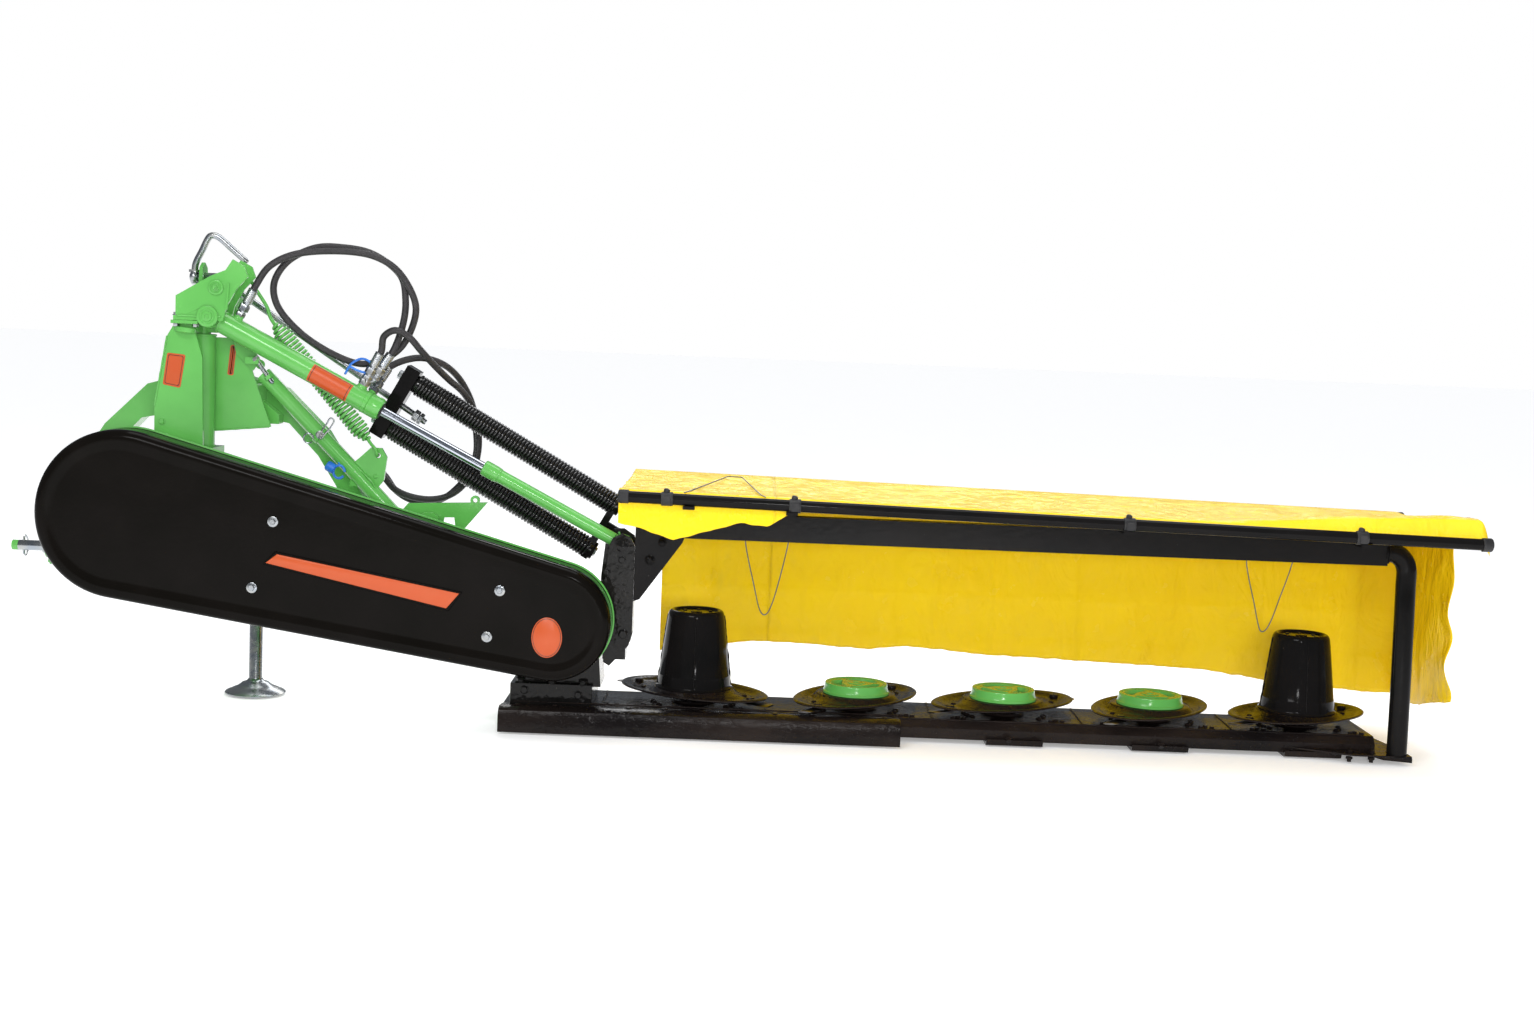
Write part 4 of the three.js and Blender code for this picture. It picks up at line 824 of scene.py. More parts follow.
green_welds = beads((4, (-1393, -129.5, 553), (-1300, -129.5, 553)),
                    (2.6, (-1430, -128.6, 808), (-1399, -128.6, 993)),
                    (3.4, (-1372, -70.5, 1046), (-1372, -139, 1046)),
                    (3.2, (-1370, -149, 1046.5), (-1254, -149, 1046.5)),
                    (3.0, (-1383, -130, 1035.5), (-1330, -130, 1035.5)))
green_bits.lathe([(0, 0), (6, 0), (6, 5), (3.4, 6), (3.4, 9), (4.4, 11), (3.2, 14), (0, 14.6)],
                 (-1268, -158, 1122), BACK, sides=14)
piece("swing_green_fittings", green_bits, "swing", GREEN, bevel=0.6)
piece("swing_welds", green_welds, "swing", GREEN, smooth=70)
piece("swing_zinc_bolts", zinc_bits, "swing", ZINC, smooth=30)

head_zinc, head_green = Shell(), Shell()
HC, PINS_Y, LINK_Z, TOP_Z = -1325, 105, 400, 1150  # hitch centre x, and its three pins
LINCH = 530                                        # lower linch pins, out from the centre
head_welds = beads((3.6, (-1302, 69, 873), (-1185, 69, 873)),
                   (3.2, (-1302, -33, 905), (-1302, -33, 985)),
                   (3.2, (-1302, -23, 764), (-1186, -23, 764)),
                   (2.6, (-1300, -34, 745), (-1152, -34, 760)))
for side in (-1, 1):
    weld(head_welds, [(HC + side * 450, 74, 441), (HC + side * 380, 74, 441)], 4.5)
    weld(head_welds, [(HC + side * 41, 71, 889), (HC + side * 41, 139, 889)], 3.6)
    weld(head_welds, [(HC + side * 53, 72, 888), (HC + side * 53, 139, 888)], 3.6)
    head_zinc.lathe([(0, 0), (14.3, 0), (14.3, 78), (12, 82), (0, 82)],
                    (HC + side * 464.5, PINS_Y, LINK_Z), (side, 0, 0), sides=28)
    head_zinc.lathe([(20, 0), (20, 5), (14.3, 5)], (HC + side * 470, PINS_Y, LINK_Z), (side, 0, 0),
                    sides=24)
    bent_rod(head_zinc, [(HC + side * LINCH, y, z) for y, z in (
        (105, 422), (105, 380), (118, 370), (134, 384), (134, 412), (118, 426))], 2.4, 8)
    head_zinc.lathe([(3.6, -24), (3.6, 24)], (HC + side * LINCH, PINS_Y, LINK_Z), UP, sides=12)
    bolt(head_green, (HC + side * 452, 105, 360), DOWN, 10)
head_green.lathe([(25, 0), (31, 0), (32, 3), (32, 10), (27, 12)], (-1230, 165, 470), UP, sides=32)
bolt(head_zinc, (-1230, 191, 420), AHEAD, 9)
head_zinc.sweep([(-1262, 165, 350), (-1198, 165, 350)], 4.4, sides=12, round_ends=True)
for ring_z in (706, 998):
    head_green.lathe([(33, 0), (35.4, 0.8), (35.4, 5.2), (33, 6)], (-1327, -50, ring_z - 4), UP,
                     sides=36)
piece("hitch_welds", head_welds, "headstock", GREEN, smooth=70)
piece("hitch_zinc_fittings", head_zinc, "headstock", ZINC, smooth=30)
piece("hitch_green_fittings", head_green, "headstock", GREEN, bevel=0.6)

pin = Shell()
pin.lathe([(0, -82), (10, -82), (12.5, -79), (12.5, 76), (10.5, 80), (0, 80)],
          (HC, PINS_Y, TOP_Z), ALONG, sides=28)
pin.lathe([(12.5, -78), (19, -78), (21, -76), (21, -64), (19, -62), (12.5, -62)],
          (HC, PINS_Y, TOP_Z), ALONG, sides=30)
bent_rod(pin, [(HC + x, PINS_Y, z) for x, z in (
    (-71, 1160), (-68, 1186), (-50, 1224), (-38, 1250), (-30, 1261), (-19, 1263), (-4, 1257),
    (30, 1229), (66, 1199))], 9, 16)
pin.lathe([(0, 0), (15, 0), (15, 7), (0, 7)], (HC - 71, 105, 1163), UP, sides=18)
pin.lathe([(2.6, -26), (2.6, 22)], (HC + 64, PINS_Y, TOP_Z), UP, sides=10)
bent_rod(pin, [(HC + 64, y, z) for y, z in (
    (105, 1172), (120, 1176), (131, 1160), (131, 1140), (120, 1127), (107, 1127))], 2.2, 8, 5)
piece("top_link_pin_bent", pin, "headstock", ZINC, ("top_link_pin",), smooth=45)

STAND_X, STAND_Y, STAND_RADIUS = -1230, 165, 18.5
stand = Shell()
stand.lathe([(0, 0), (76, 0), (83, 3), (83, 6), (79, 10), (66, 15), (60, 18.5), (55, 19.5),
             (46, 25), (36, 33), (30, 35), (24, 37), (20, 42), (STAND_RADIUS, 46),
             (STAND_RADIUS, 578), (16, 585), (0, 585)], (STAND_X, STAND_Y, 0), UP, sides=48)
for z in (200, 260, 520, 555):
    for side in (-1, 1):
        stand.lathe([(0, 0), (4.6, 0), (4.6, 0.5), (3.4, 0.5), (3.4, 0.1), (0, 0.1)],
                    (STAND_X + (STAND_RADIUS - 0.55) * side, STAND_Y, z), ALONG * side, sides=14)
piece("stand_tube_and_foot", stand, "stand", ZINC, ("parking_stand",), smooth=40)

# ---- Brace strut, spring and hook ------------------------------------------
strut_zinc, strut_green = Shell(), Shell()
STRUT_Y = -42
strut_welds = beads((3.0, (-925, -48, 673), (-872, -62, 627), (-862, -54, 605)),
                    (3.4, (-838, -59, 546), (-780, -59, 500), (-722, -59, 496)),
                    (3.8, (-822, -58, 471.5), (-703, -58, 471.5)),
                    (3.0, (-1190, -48, 930), (-1168, -62, 918)))
strut_green.lathe([(21, 0), (24.4, 1), (24.4, 15), (21, 16)], (-1020, STRUT_Y, 749),
                  (0.7, 0, -0.71), sides=32)
bolt(strut_zinc, (-1012, STRUT_Y - 21, 745), BACK, 10)
bent_rod(strut_zinc, [(-1012, -72, 738), (-1004, -74, 758), (-992, -76, 776), (-982, -74, 792),
    (-974, -70, 786), (-982, -70, 768), (-996, -72, 750), (-1004, -74, 738)], 2.2, 8)
strut_zinc.sweep(arc((-1038, -80, 737), ALONG * 13, UP * 13, 18, 17), 2.0, sides=8)
strut_zinc.sweep([(-1179, -64, 932), (-1141, -64, 881)], 6, sides=14, round_ends=True)
hexagon(strut_zinc, (-1182, -64, 936), (-0.6, 0, 0.8), 19, 9)
strut_green.block((-1211, -1175), (-72, -56), (926, 944))
bolt(strut_green, (-1176, STRUT_Y - 5, 925), BACK, 11)
hexagon(strut_green, (-1152, -64, 897), (0.6, 0, -0.8), 22, 11)
for x, z in ((-912, 660), (-866, 640)):
    strut_green.lathe([(0, 0), (6, 0), (5, 2.4), (0, 3)], (x, STRUT_Y - 5, z), BACK, sides=16)
piece("strut_welds", strut_welds, "swing", GREEN, smooth=70)
piece("strut_zinc_pins", strut_zinc, "swing", ZINC, smooth=40)
piece("strut_green_fittings", strut_green, "swing", GREEN, bevel=0.6)

cap = Shell()
cap.sweep(arc((-959, -66, 650), ALONG * 15, Vector((0, 3, 17)), 20, 19), 3.4, sides=10)
cap.lathe([(0, 0), (12, 0), (14, 2), (14, 20), (11, 24), (0, 24)], (-972, -62, 655), (-0.8, 0, 0.5),
          sides=22)
cap.sweep(centripetal([(-958, -62, 666), (-962, -58, 676), (-972, -50, 684)], 5), 2.2, sides=8)
piece("blue_dust_cap", cap, "swing", BLUE)

SPRING_Y = -44.5                                   # the coil clears the barrel by 5.5 mm
coil = Shell()
top, bottom = Vector((-1139, SPRING_Y, 1030)), Vector((-889, SPRING_Y, 738))
axis = (bottom - top).normalized()
u, v = square_to(axis)
turns, route = 34, []
for k in range(turns * 18 + 1):
    t = k / (turns * 18)
    a = 2 * pi * turns * t
    radius = 21.4 * min(1.0, 0.30 + 9 * t, 0.30 + 9 * (1 - t))
    route.append(top.lerp(bottom, t) + (u * cos(a) + v * sin(a)) * radius)
coil.sweep(route, 4.2, sides=8)
cheek = -56.7
bent_rod(coil, [(-1137, SPRING_Y, 1027), (-1152, SPRING_Y, 1050), (-1160, cheek + 4, 1078),
                (-1184, cheek, 1116), (-1204, cheek, 1148)], 5, 12, 8)
bearing = 1.6
bent_rod(coil, [(-890, SPRING_Y, 740), (-878, SPRING_Y - 8, 726), (-864, -60, 712),
                (-860 - bearing, -56, 696 + bearing), (-860 - bearing, -34, 696 + bearing),
                (-868, -26, 704)], 4.4, 12, 8)
piece("breakaway_coil", coil, "swing", GREEN, ("breakaway_spring",), smooth=60)

hook_bits = Shell()
hook_bits.lathe([(0, 0), (14, 0), (14, 3), (9, 4), (9, 8), (0, 8.6)], (-725, -34, 520), BACK,
                sides=24)
piece("hook_washer", hook_bits, "swing", ZINC)

# ---- Lift cylinder ---------------------------------------------------------
def eye(shell, centre, y, radius, bore):
    """Turned boss across the machine, with a bored and chamfered face each side."""
    near, far = y
    shell.lathe([(bore, near + 1.5), (bore + 2, near), (radius - 2, near), (radius, near + 2),
                 (radius, far - 2), (radius - 2, far), (bore + 2, far), (bore, far - 1.5)],
                (centre[0], 0, centre[-1]), AHEAD, sides=36)


barrel = Shell()
barrel.lathe([(0, 22), (25, 22), (29, 27), (29, 452), (30.2, 453), (30.2, 462), (28.6, 463.5),
              (30.2, 465), (30.2, 494), (27.6, 500), (15, 500.5), (13.2, 498), (0, 498)],
             cylinder_point(0), CYL_WAY, sides=44)
eye(barrel, CYL_BASE, (-129, -81), 30, 12)
for distance, tall, radius in ((62, 50, 12), (428, 52, 13)):
    barrel.lathe([(radius + 3, 24), (radius + 1, 29), (radius, 31), (radius, tall - 12),
                  (0, tall - 12)], cylinder_point(distance), CYL_UP, sides=24)
barrel.lathe([(0, 0), (10, 0), (10, 18), (0, 18)],
             FAR_MOUTH - FAR_WAY * 30, FAR_WAY, sides=20)
piece("barrel_tube", barrel, "barrel", GREEN, ("cylinder_barrel",), smooth=34)
barrel_welds = Shell()
for distance in (30, 453):
    weld(barrel_welds, arc(cylinder_point(distance), CYL_UP * 28.6, AHEAD * 28.6, 40, 41), 2.4)
for distance, radius in ((62, 12.6), (428, 13.6)):
    ring = arc(cylinder_point(distance, 28.8), CYL_WAY * radius, AHEAD * radius, 22, 23)
    weld(barrel_welds, [p - CYL_UP * abs(p.y - CYL_Y) / radius * 2.6 for p in ring], 2.0)
piece("barrel_welds", barrel_welds, "barrel", GREEN, smooth=70)
ports = Shell()
ports.lathe([(0, -22), (9, -22), (11, -18), (11, -14), (0, -14)], LOOP_MOUTH, LOOP_WAY, sides=20)
tee = ROD_MOUTH - CYL_UP * 22
ports.sweep([tee - AHEAD * 8 - CYL_WAY * 3, tee + (LOOP_MOUTH - LOOP_WAY * 20 - tee) * 0.5,
             LOOP_MOUTH - LOOP_WAY * 18], 10, sides=16)
hexagon(ports, tee - CYL_UP * 8, CYL_UP, 26, 16)
hexagon(ports, FAR_MOUTH - FAR_WAY * 16, FAR_WAY, 22, 12)
piece("barrel_ports", ports, "barrel", ZINC, smooth=34)

band = Shell()                                     # orange ground, then its border's lines
for number, first, last, low, high, step, radius in (
        (0, 295, 410, -55, 55, 5, 29.35), (1, 300, 301.6, -50, 50, 5, 29.6),
        (1, 403.4, 405, -50, 50, 5, 29.6), (1, 300, 405, -50, -48, 2, 29.6),
        (1, 300, 405, 48, 50, 2, 29.6)):
    band.slot = number
    outs = [CYL_UP * sin(radians(a)) - AHEAD * cos(radians(a)) for a in range(low, high + 1, step)]
    band.loft([[cylinder_point(distance) + out * radius for distance in (first, last)]
               for out in outs], closed=False, caps=False)
piece("barrel_decal", band, "barrel", [ORANGE, INK], smooth=50)

rod = Shell()
rod.lathe([(0, 430), (12.5, 430), (12.5, 805.7), (0, 805.7)], cylinder_point(0), CYL_WAY, sides=36)
piece("chrome_rod", rod, "rod", CHROME, ("cylinder_rod",))
seal = Shell()
seal.lathe([(12.9, 0), (19, 0), (19, 2), (16, 4), (12.9, 4.6)], cylinder_point(500.6), CYL_WAY,
           sides=30)
piece("rod_wiper_seal", seal, "barrel", RUBBER)

extension = Shell()
extension.lathe([(0, 806), (18, 806), (20.6, 808), (21, 812), (21, 844), (20, 850), (18.4, 854),
                 (18, 860), (18, 1196), (0, 1196)], cylinder_point(0), CYL_WAY, sides=34)
eye(extension, CYL_EYE, (-130, -80), 26, 14.2)
weld(extension, arc(cylinder_point(852), CYL_UP * 18.6, AHEAD * 18.6, 26, 27), 2.0)
weld(extension, [cylinder_point(1198, 17), cylinder_point(1201, 12, CYL_Y - 13),
                 cylinder_point(1202, 0, CYL_Y - 19), cylinder_point(1201, -12, CYL_Y - 13),
                 cylinder_point(1198, -17)], 2.6)
extension.lathe([(0, 26), (4.6, 26), (4.6, 28.5), (2.6, 30), (2.6, 34), (3.4, 36), (0, 38)],
                (CYL_EYE.x, CYL_Y, CYL_EYE.z), (-0.3, -0.2, 0.93), sides=14)
piece("rod_extension_tube", extension, "rod", GREEN, ("rod_extension",), smooth=34)
pins = Shell()
pins.lathe([(0, -137.6), (11, -137.6), (14, -135.5), (14, -74.5), (11, -72.4), (0, -72.4)],
           CYL_EYE, AHEAD, sides=30)
piece("rod_end_pin", pins, "rod", ZINC)
latch = Shell()
latch.lathe([(16, -146.2), (24, -146.2), (24, -149), (14, -150), (14, -154), (9, -155.5),
             (0, -155.5)], CYL_EYE, AHEAD, sides=30)
LEVER_FACE = -146                                  # y of the lift lever's near side
for x, z, size in ((-196, 455, 9), (-236, 420, 9), (-187, 258, 12)):
    bolt(latch, (x, LEVER_FACE, z), BACK, size)
bolt(latch, (-199, -63.8, 455), AHEAD, 9)
piece("lever_fasteners", latch, "bar", CAST, smooth=30)

# ---- Float rod and springs -------------------------------------------------
FLOAT_Y = 32
FLOAT_BASE, HANGER = Vector((-1268, FLOAT_Y, 1122)), Vector((-831, FLOAT_Y, 838))
FLOAT_EYE = Vector((-222, FLOAT_Y, 497))
FLOAT_REACH, SPRING_REACH = (HANGER - FLOAT_BASE).length, (FLOAT_EYE - HANGER).length
FLOAT_WAY, SPRING_RUN = (HANGER - FLOAT_BASE).normalized(), (FLOAT_EYE - HANGER).normalized()
SPRING_SIDE = Vector((-SPRING_RUN.z, 0, SPRING_RUN.x))

link = Shell()
profile = [(0, 14), (9, 14), (9, FLOAT_REACH - 150)]
for k in range(81):
    profile += [(9, FLOAT_REACH - 148 + k * 3), (8.2, FLOAT_REACH - 146.5 + k * 3)]
profile += [(7.4, FLOAT_REACH + 99), (0, FLOAT_REACH + 100)]
link.lathe(profile, FLOAT_BASE, FLOAT_WAY, sides=20)
eye(link, FLOAT_BASE, (FLOAT_Y - 12, FLOAT_Y + 12), 22, 12.3)
for distance, tall in ((FLOAT_REACH + 60, 15), (FLOAT_REACH + 77, 10)):
    hexagon(link, FLOAT_BASE + FLOAT_WAY * distance, FLOAT_WAY, 28, tall)
piece("float_rod_threaded", link, "float_link", ZINC, ("float_rod",), smooth=28)


def tension_spring(name, side, node):
    """Close-wound spring with a threaded plug in each end."""
    shell = Shell()
    start = HANGER + SPRING_RUN * 30 + SPRING_SIDE * side
    length, pitch, sides, radius = SPRING_REACH - 76, 9.5, 22, 25.8
    count = int(length / pitch * sides)
    coil = arc(start, SPRING_SIDE * radius, AHEAD * radius, sides, count + 1)
    shell.sweep([p + SPRING_RUN * (length * k / count) for k, p in enumerate(coil)], 4.7, sides=7)
    shell.lathe([(0, -8), (23, -8), (25, -6), (25, 4), (21.5, 6), (21.5, length - 6),
                 (25, length - 4), (25, length + 12), (23, length + 14), (0, length + 14)],
                start, SPRING_RUN, sides=26)
    piece(name, shell, "float_unit", SLEEVE, (node,), smooth=60)


tension_spring("float_coil_upper", 69, "float_spring_upper")
tension_spring("float_coil_lower", -69, "float_spring_lower")
unit = Shell()
for side in (-69, 69):
    for distance, way in ((-18, -1), (SPRING_REACH - 40, 1)):
        bolt(unit, HANGER + SPRING_RUN * distance + SPRING_SIDE * side, SPRING_RUN * way, 14)
unit.lathe([(14, 0), (20, 0), (20, 3), (14, 3)], (FLOAT_EYE.x, 50, FLOAT_EYE.z), AHEAD, sides=24)
bolt(unit, (FLOAT_EYE.x, 55, FLOAT_EYE.z), AHEAD, 14, washer=False)
piece("float_fasteners", unit, "float_unit", ZINC, smooth=30)

# ---- Input shaft -----------------------------------------------------------
shaft = Shell()
grooves = [(0, 0), (60, 0), (64, 6), (130, 6), (134, 0), (149, 0)]
for k in range(5):
    h = 5 + k * 12
    grooves += [(150, h), (150, h + 2), (140, h + 5), (140, h + 6), (150, h + 9)]
grooves += [(150, 68), (134, 68), (130, 62), (64, 62), (60, 74), (34, 78), (28, 80), (28, 296),
            (24, 298), (17.5, 300), (0, 300)]
shaft.lathe([(r, h) for r, h in grooves], (DRIVE.x, -286, DRIVE.z), AHEAD, sides=52)
rings = []
for depth, shrink in ((10, 0), (58, 0), (64, 3)):
    ring = []
    for k in range(72):
        phase = (k % 12) / 12
        r = 17.5 if phase < 0.55 else 14.6
        a = 2 * pi * k / 72
        ring.append((DRIVE.x + (r - shrink) * cos(a), depth, DRIVE.z + (r - shrink) * sin(a)))
    rings.append(ring)
shaft.loft(rings)                                  # the six-spline stub
piece("input_shaft_splined", shaft, "drive", STEEL, ("input_shaft",), smooth=30)

# ---- Cutter bar fittings ---------------------------------------------------
DISC_X = (0, 440, 840, 1240, 1640)
BAR_TOP, FOOT_TOP = 60, 118                        # z of the bar's and the gearbox foot's tops
bar_bolts, bar_welds, gear_bits = Shell(), Shell(), Shell()
for x in DISC_X:
    for degrees in (186, 200, 214, 326, 340, 354):
        a = radians(degrees)
        px, py = x + 108 * cos(a), 96 * sin(a)
        bar_bolts.lathe([(0, 0), (8.4, 0), (8.4, 1.4), (6.6, 4), (3, 5.2), (0, 5.4)],
                        (px, py - 20, BAR_TOP), UP, sides=16)
    for side in (-1, 1):
        for step in (-1, 0, 1):
            bolt(bar_bolts, (x + side * 131 + step * 15, -112 if step else -100, BAR_TOP), UP, 7)
for k in range(11):
    bar_bolts.lathe([(0, 0), (8, 0), (8, 1), (6, 2.6), (0, 3)], (-452 + k * 96, -192, 69.8), UP,
                    sides=16)
BEAD_Z = BAR_TOP + 0.4
weld(bar_welds, [(-470, -133, BEAD_Z), (1780, -133, BEAD_Z)], 3.0, 0.5)
weld(bar_welds, [(-470, -148.6, 69.4), (546, -148.6, 69.4)], 2.4, 0.3)
for x in (-240, 195, 640, 1040, 1440):
    weld(bar_welds, [(x, -130, BEAD_Z), (x, 90, BEAD_Z)], 3.0, 0.4)
for x in (839, 1241, 1700):
    bolt(bar_bolts, (x, -168, 22), (0, -0.7, -0.7), 9)
for x, y in ((1733, -190), (1791, -190), (1812, -60), (1812, 60)):
    bar_bolts.lathe([(0, -2), (9, -2), (9, 3.6), (5.6, 4.2), (5.6, 11), (0, 11)], (x, y, 13),
                    DOWN, sides=16)
for x, y in ((1733, -190), (1791, -190), (1836, 20)):
    bolt(bar_bolts, (x, y, 27), UP, 9)
wear_plate = [(1592, -151.5), (1700, -203), (1736, -219), (1889, -219), (1889, -158), (1851, 58),
              (1800.5, 58), (1800.5, -151.5)]
wear = Shell()
wear.loft([[(x, y, z) for x, y in wear_plate] for z in (22.2, 27)])
for x, y in ((1762, -172), (1846, -168), (1826, -20)):
    wear.loft([arc((x, y, z), ALONG * 13, AHEAD * 5, 20) for z in (26, 27.8)])
piece("outer_wear_plate", wear, "bar", BAR, bevel=1.2)
for x in (-430, -330, -215, -115):
    for dx, dy in ((-14, 6), (0, -8), (14, 6)):
        bolt(bar_bolts, (x + dx, -108 + dy, BAR_TOP), UP, 7)
piece("bar_bolts", bar_bolts, "bar", BAR, smooth=30)
piece("bar_welds", bar_welds, "bar", BAR, smooth=70)

for x, y in ((-455, -130), (-372, -130), (-290, -130), (-455, 38), (-372, 45), (-290, 38),
             (-455, -46), (-284, -46)):
    bolt(gear_bits, (x, y, FOOT_TOP), UP, 13)
for x, z in ((-442, 101), (-300, 92)):
    bolt(gear_bits, (x, -150, z), BACK, 10)
for a in (radians(degrees) for degrees in (-90, -55, -20, 15)):
    bolt(gear_bits, (LIFT.x + 90 * cos(a), 40, LIFT.z + 90 * sin(a)), AHEAD, 9)
gear_bits.lathe([(0, 0), (11, 0), (11, 4), (8, 5), (8, 9), (0, 9)], (LIFT.x + 34, -60, LIFT.z + 97),
                (0.33, 0, 0.94), sides=6)
for side in (-1, 1):
    weld(gear_bits, [(LIFT.x + side * 52, y, FOOT_TOP + 1) for y in (-120, 20)], 4.5, 0.4)
piece("gearbox_fittings", gear_bits, "bar", CAST, smooth=34)

# ---- Discs, drums and caps -------------------------------------------------
DISC_ANGLES = (-35, 55, 35, 55, 35)
DISC_TOP, DISC_LONG, DISC_WIDE = 99.7, 226, 138    # half length and half width of the oval
HUB_FLAT = 118                                     # the drum or cap sits inside of this radius
KNIFE_BOLT, CAP_SIDES = 189, 108


def between(steps, x):
    """Height read off a table of steps, eased from one to the next."""
    for (x0, z0), (x1, z1) in zip(steps, steps[1:]):
        if x <= x1:
            return z0 + (z1 - z0) * eased(share(x, x0, x1))
    return steps[-1][1]


DISH_TOP = [(0, 99.4), (0.44, 99.2), (0.56, 92), (0.70, 85.5), (0.80, 87), (0.92, 94.6),
            (0.975, 95.8), (1.0, 93.2)]
DISH_UNDER = [(0, 92.2), (0.44, 92), (0.56, 86), (0.70, 80.4), (0.80, 81.5), (0.92, 87.5),
              (1.0, 90.6)]


def make_disc(index):
    x0, turn = DISC_X[index], DISC_ANGLES[index]
    shell = Shell()

    def ring(f, steps, thin):
        """Oval at a fraction of the disc's size, flat near its middle."""
        z, flat = between(steps, f), DISC_TOP - 0.3 - thin
        oval = arc((0, 0, 0), ALONG * DISC_LONG * f, AHEAD * DISC_WIDE * f, 84)
        return [(x0 + p.x, p.y, z + (flat - z)
                 * eased(share(hypot(p.x, p.y), HUB_FLAT, HUB_FLAT - 14))) for p in oval]

    fractions = (0.12, 0.30, 0.42, 0.46, 0.50, 0.54, 0.58, 0.62, 0.66, 0.70, 0.74, 0.78, 0.82, 0.86,
                 0.90, 0.93, 0.96, 0.98, 0.994, 1.0)
    rings = [[(x0, 0, DISC_TOP - 0.3)]] + [ring(f, DISH_TOP, 0) for f in fractions]
    rings += [ring(f, DISH_UNDER, 7)
              for f in (1.0, 0.97, 0.92, 0.86, 0.80, 0.74, 0.66, 0.58, 0.46, 0.30)]
    shell.loft(rings + [[(x0, 0, 92)]])
    shell.lathe([(36, 66.4), (36, 74), (32, 76), (32, 84), (35, 86), (35, 93)], (x0, 0, 0), UP,
                sides=30)
    shell.lathe([(104, 92.2), (105.2, 94), (105.2, 98.4), (103.6, 99.6), (90, 99.6)], (x0, 0, 0),
                UP, sides=60)
    for side in (-1, 1):
        bolt_x = x0 + side * KNIFE_BOLT
        shell.lathe([(12, 86), (12, 92), (10, 95.4), (6, 96), (0, 96)], (bolt_x, 0, 0), UP,
                    sides=22)
        hexagon(shell, (bolt_x, 0, 79), DOWN, 19, 4)
        for y in (-46, 46):
            shell.lathe([(0, 0), (7.4, 0), (7.4, 1.2), (5.6, 3.6), (0, 4.6)],
                        (x0 + side * 136, y, 85.4), UP, sides=16)
        weld(shell, [(x0 + side * 106 * cos(a), 106 * sin(a), 97.4)
                     for a in (-1.0 + 0.2 * k for k in range(11))], 2.4, 0.5)
    shell.turned_about(0, x0, 0, turn)
    piece("disc_pressed_%d" % (index + 1), shell, "disc_unit_%d" % (index + 1), BAR,
          ("disc_%d" % (index + 1),), smooth=44)
    knives = Shell()
    for side in (-1, 1):
        near, far = (x0 + side * (KNIFE_BOLT + out) for out in (-18, 65))
        outline = [(near, -15), (near + side * 5, -20), (far - side * 5, -20), (far, -16),
                   (far, 16), (far - side * 5, 20), (near + side * 5, 20), (near, 15)]
        core = [(px, py * (0.72 if px != near else 1.0)) for px, py in outline]
        twist = 0.096 * side
        knives.loft([[(px, py, z + py * twist * abs(px - near) / 84) for px, py in pts]
                     for pts, z in ((core, 78.8), (outline, 80.2), (outline, 81.4), (core, 83))])
    knives.turned_about(0, x0, 0, turn)
    piece("disc_knives_%d" % (index + 1), knives, "disc_unit_%d" % (index + 1), STEEL, smooth=25)


for index in range(5):
    make_disc(index)


def make_drum(name, index):
    """Crop drum: pressed cone on a foot ring, recessed top, four hand-welded seams."""
    x0, base = DISC_X[index], DISC_TOP + 0.3
    shell = Shell()
    shell.lathe([(0, 0), (103.4, 0), (103.6, 2.4), (101.5, 4.4), (100.2, 6.5), (99.4, 10),
                 (96.6, 34), (96.4, 36), (95.2, 38), (87.8, 104), (80, 168), (76.6, 192),
                 (75.4, 199), (73, 204.6), (69.5, 208.4), (65.6, 210), (61.5, 209.4),
                 (58.6, 207), (57.4, 204.6), (50, 204), (30, 203.4), (16, 203.2),
                 (14.5, 205.4), (9, 206.4), (0, 206.6)], (x0, 0, base), UP, sides=72)
    seams = Shell()
    for k in range(4):
        a = radians(DISC_ANGLES[index] + 222 + 90 * k + (12 if index else -6))
        route = []
        for h in (190 * step / 59 for step in range(60)):
            r = 99.6 - 23.2 * h / 186
            route.append((x0 + r * cos(a), r * sin(a), base + 6 + h))
        weld(seams, route, 2.4, 0.9)
    for a in (2 * pi * k / 6 + 0.4 for k in range(6)):
        shell.lathe([(0, 0), (5.4, 0), (4.6, 2.4), (0, 3)],
                    (x0 + 40 * cos(a), 40 * sin(a), base + 203.4), UP, sides=14)
    piece(name + "_cone", shell, "disc_unit_%d" % (index + 1), BLACK, (name,), smooth=40)
    piece(name + "_seams", seams, "disc_unit_%d" % (index + 1), BLACK, smooth=70)


make_drum("drum_inner", 0)
make_drum("drum_outer", 4)


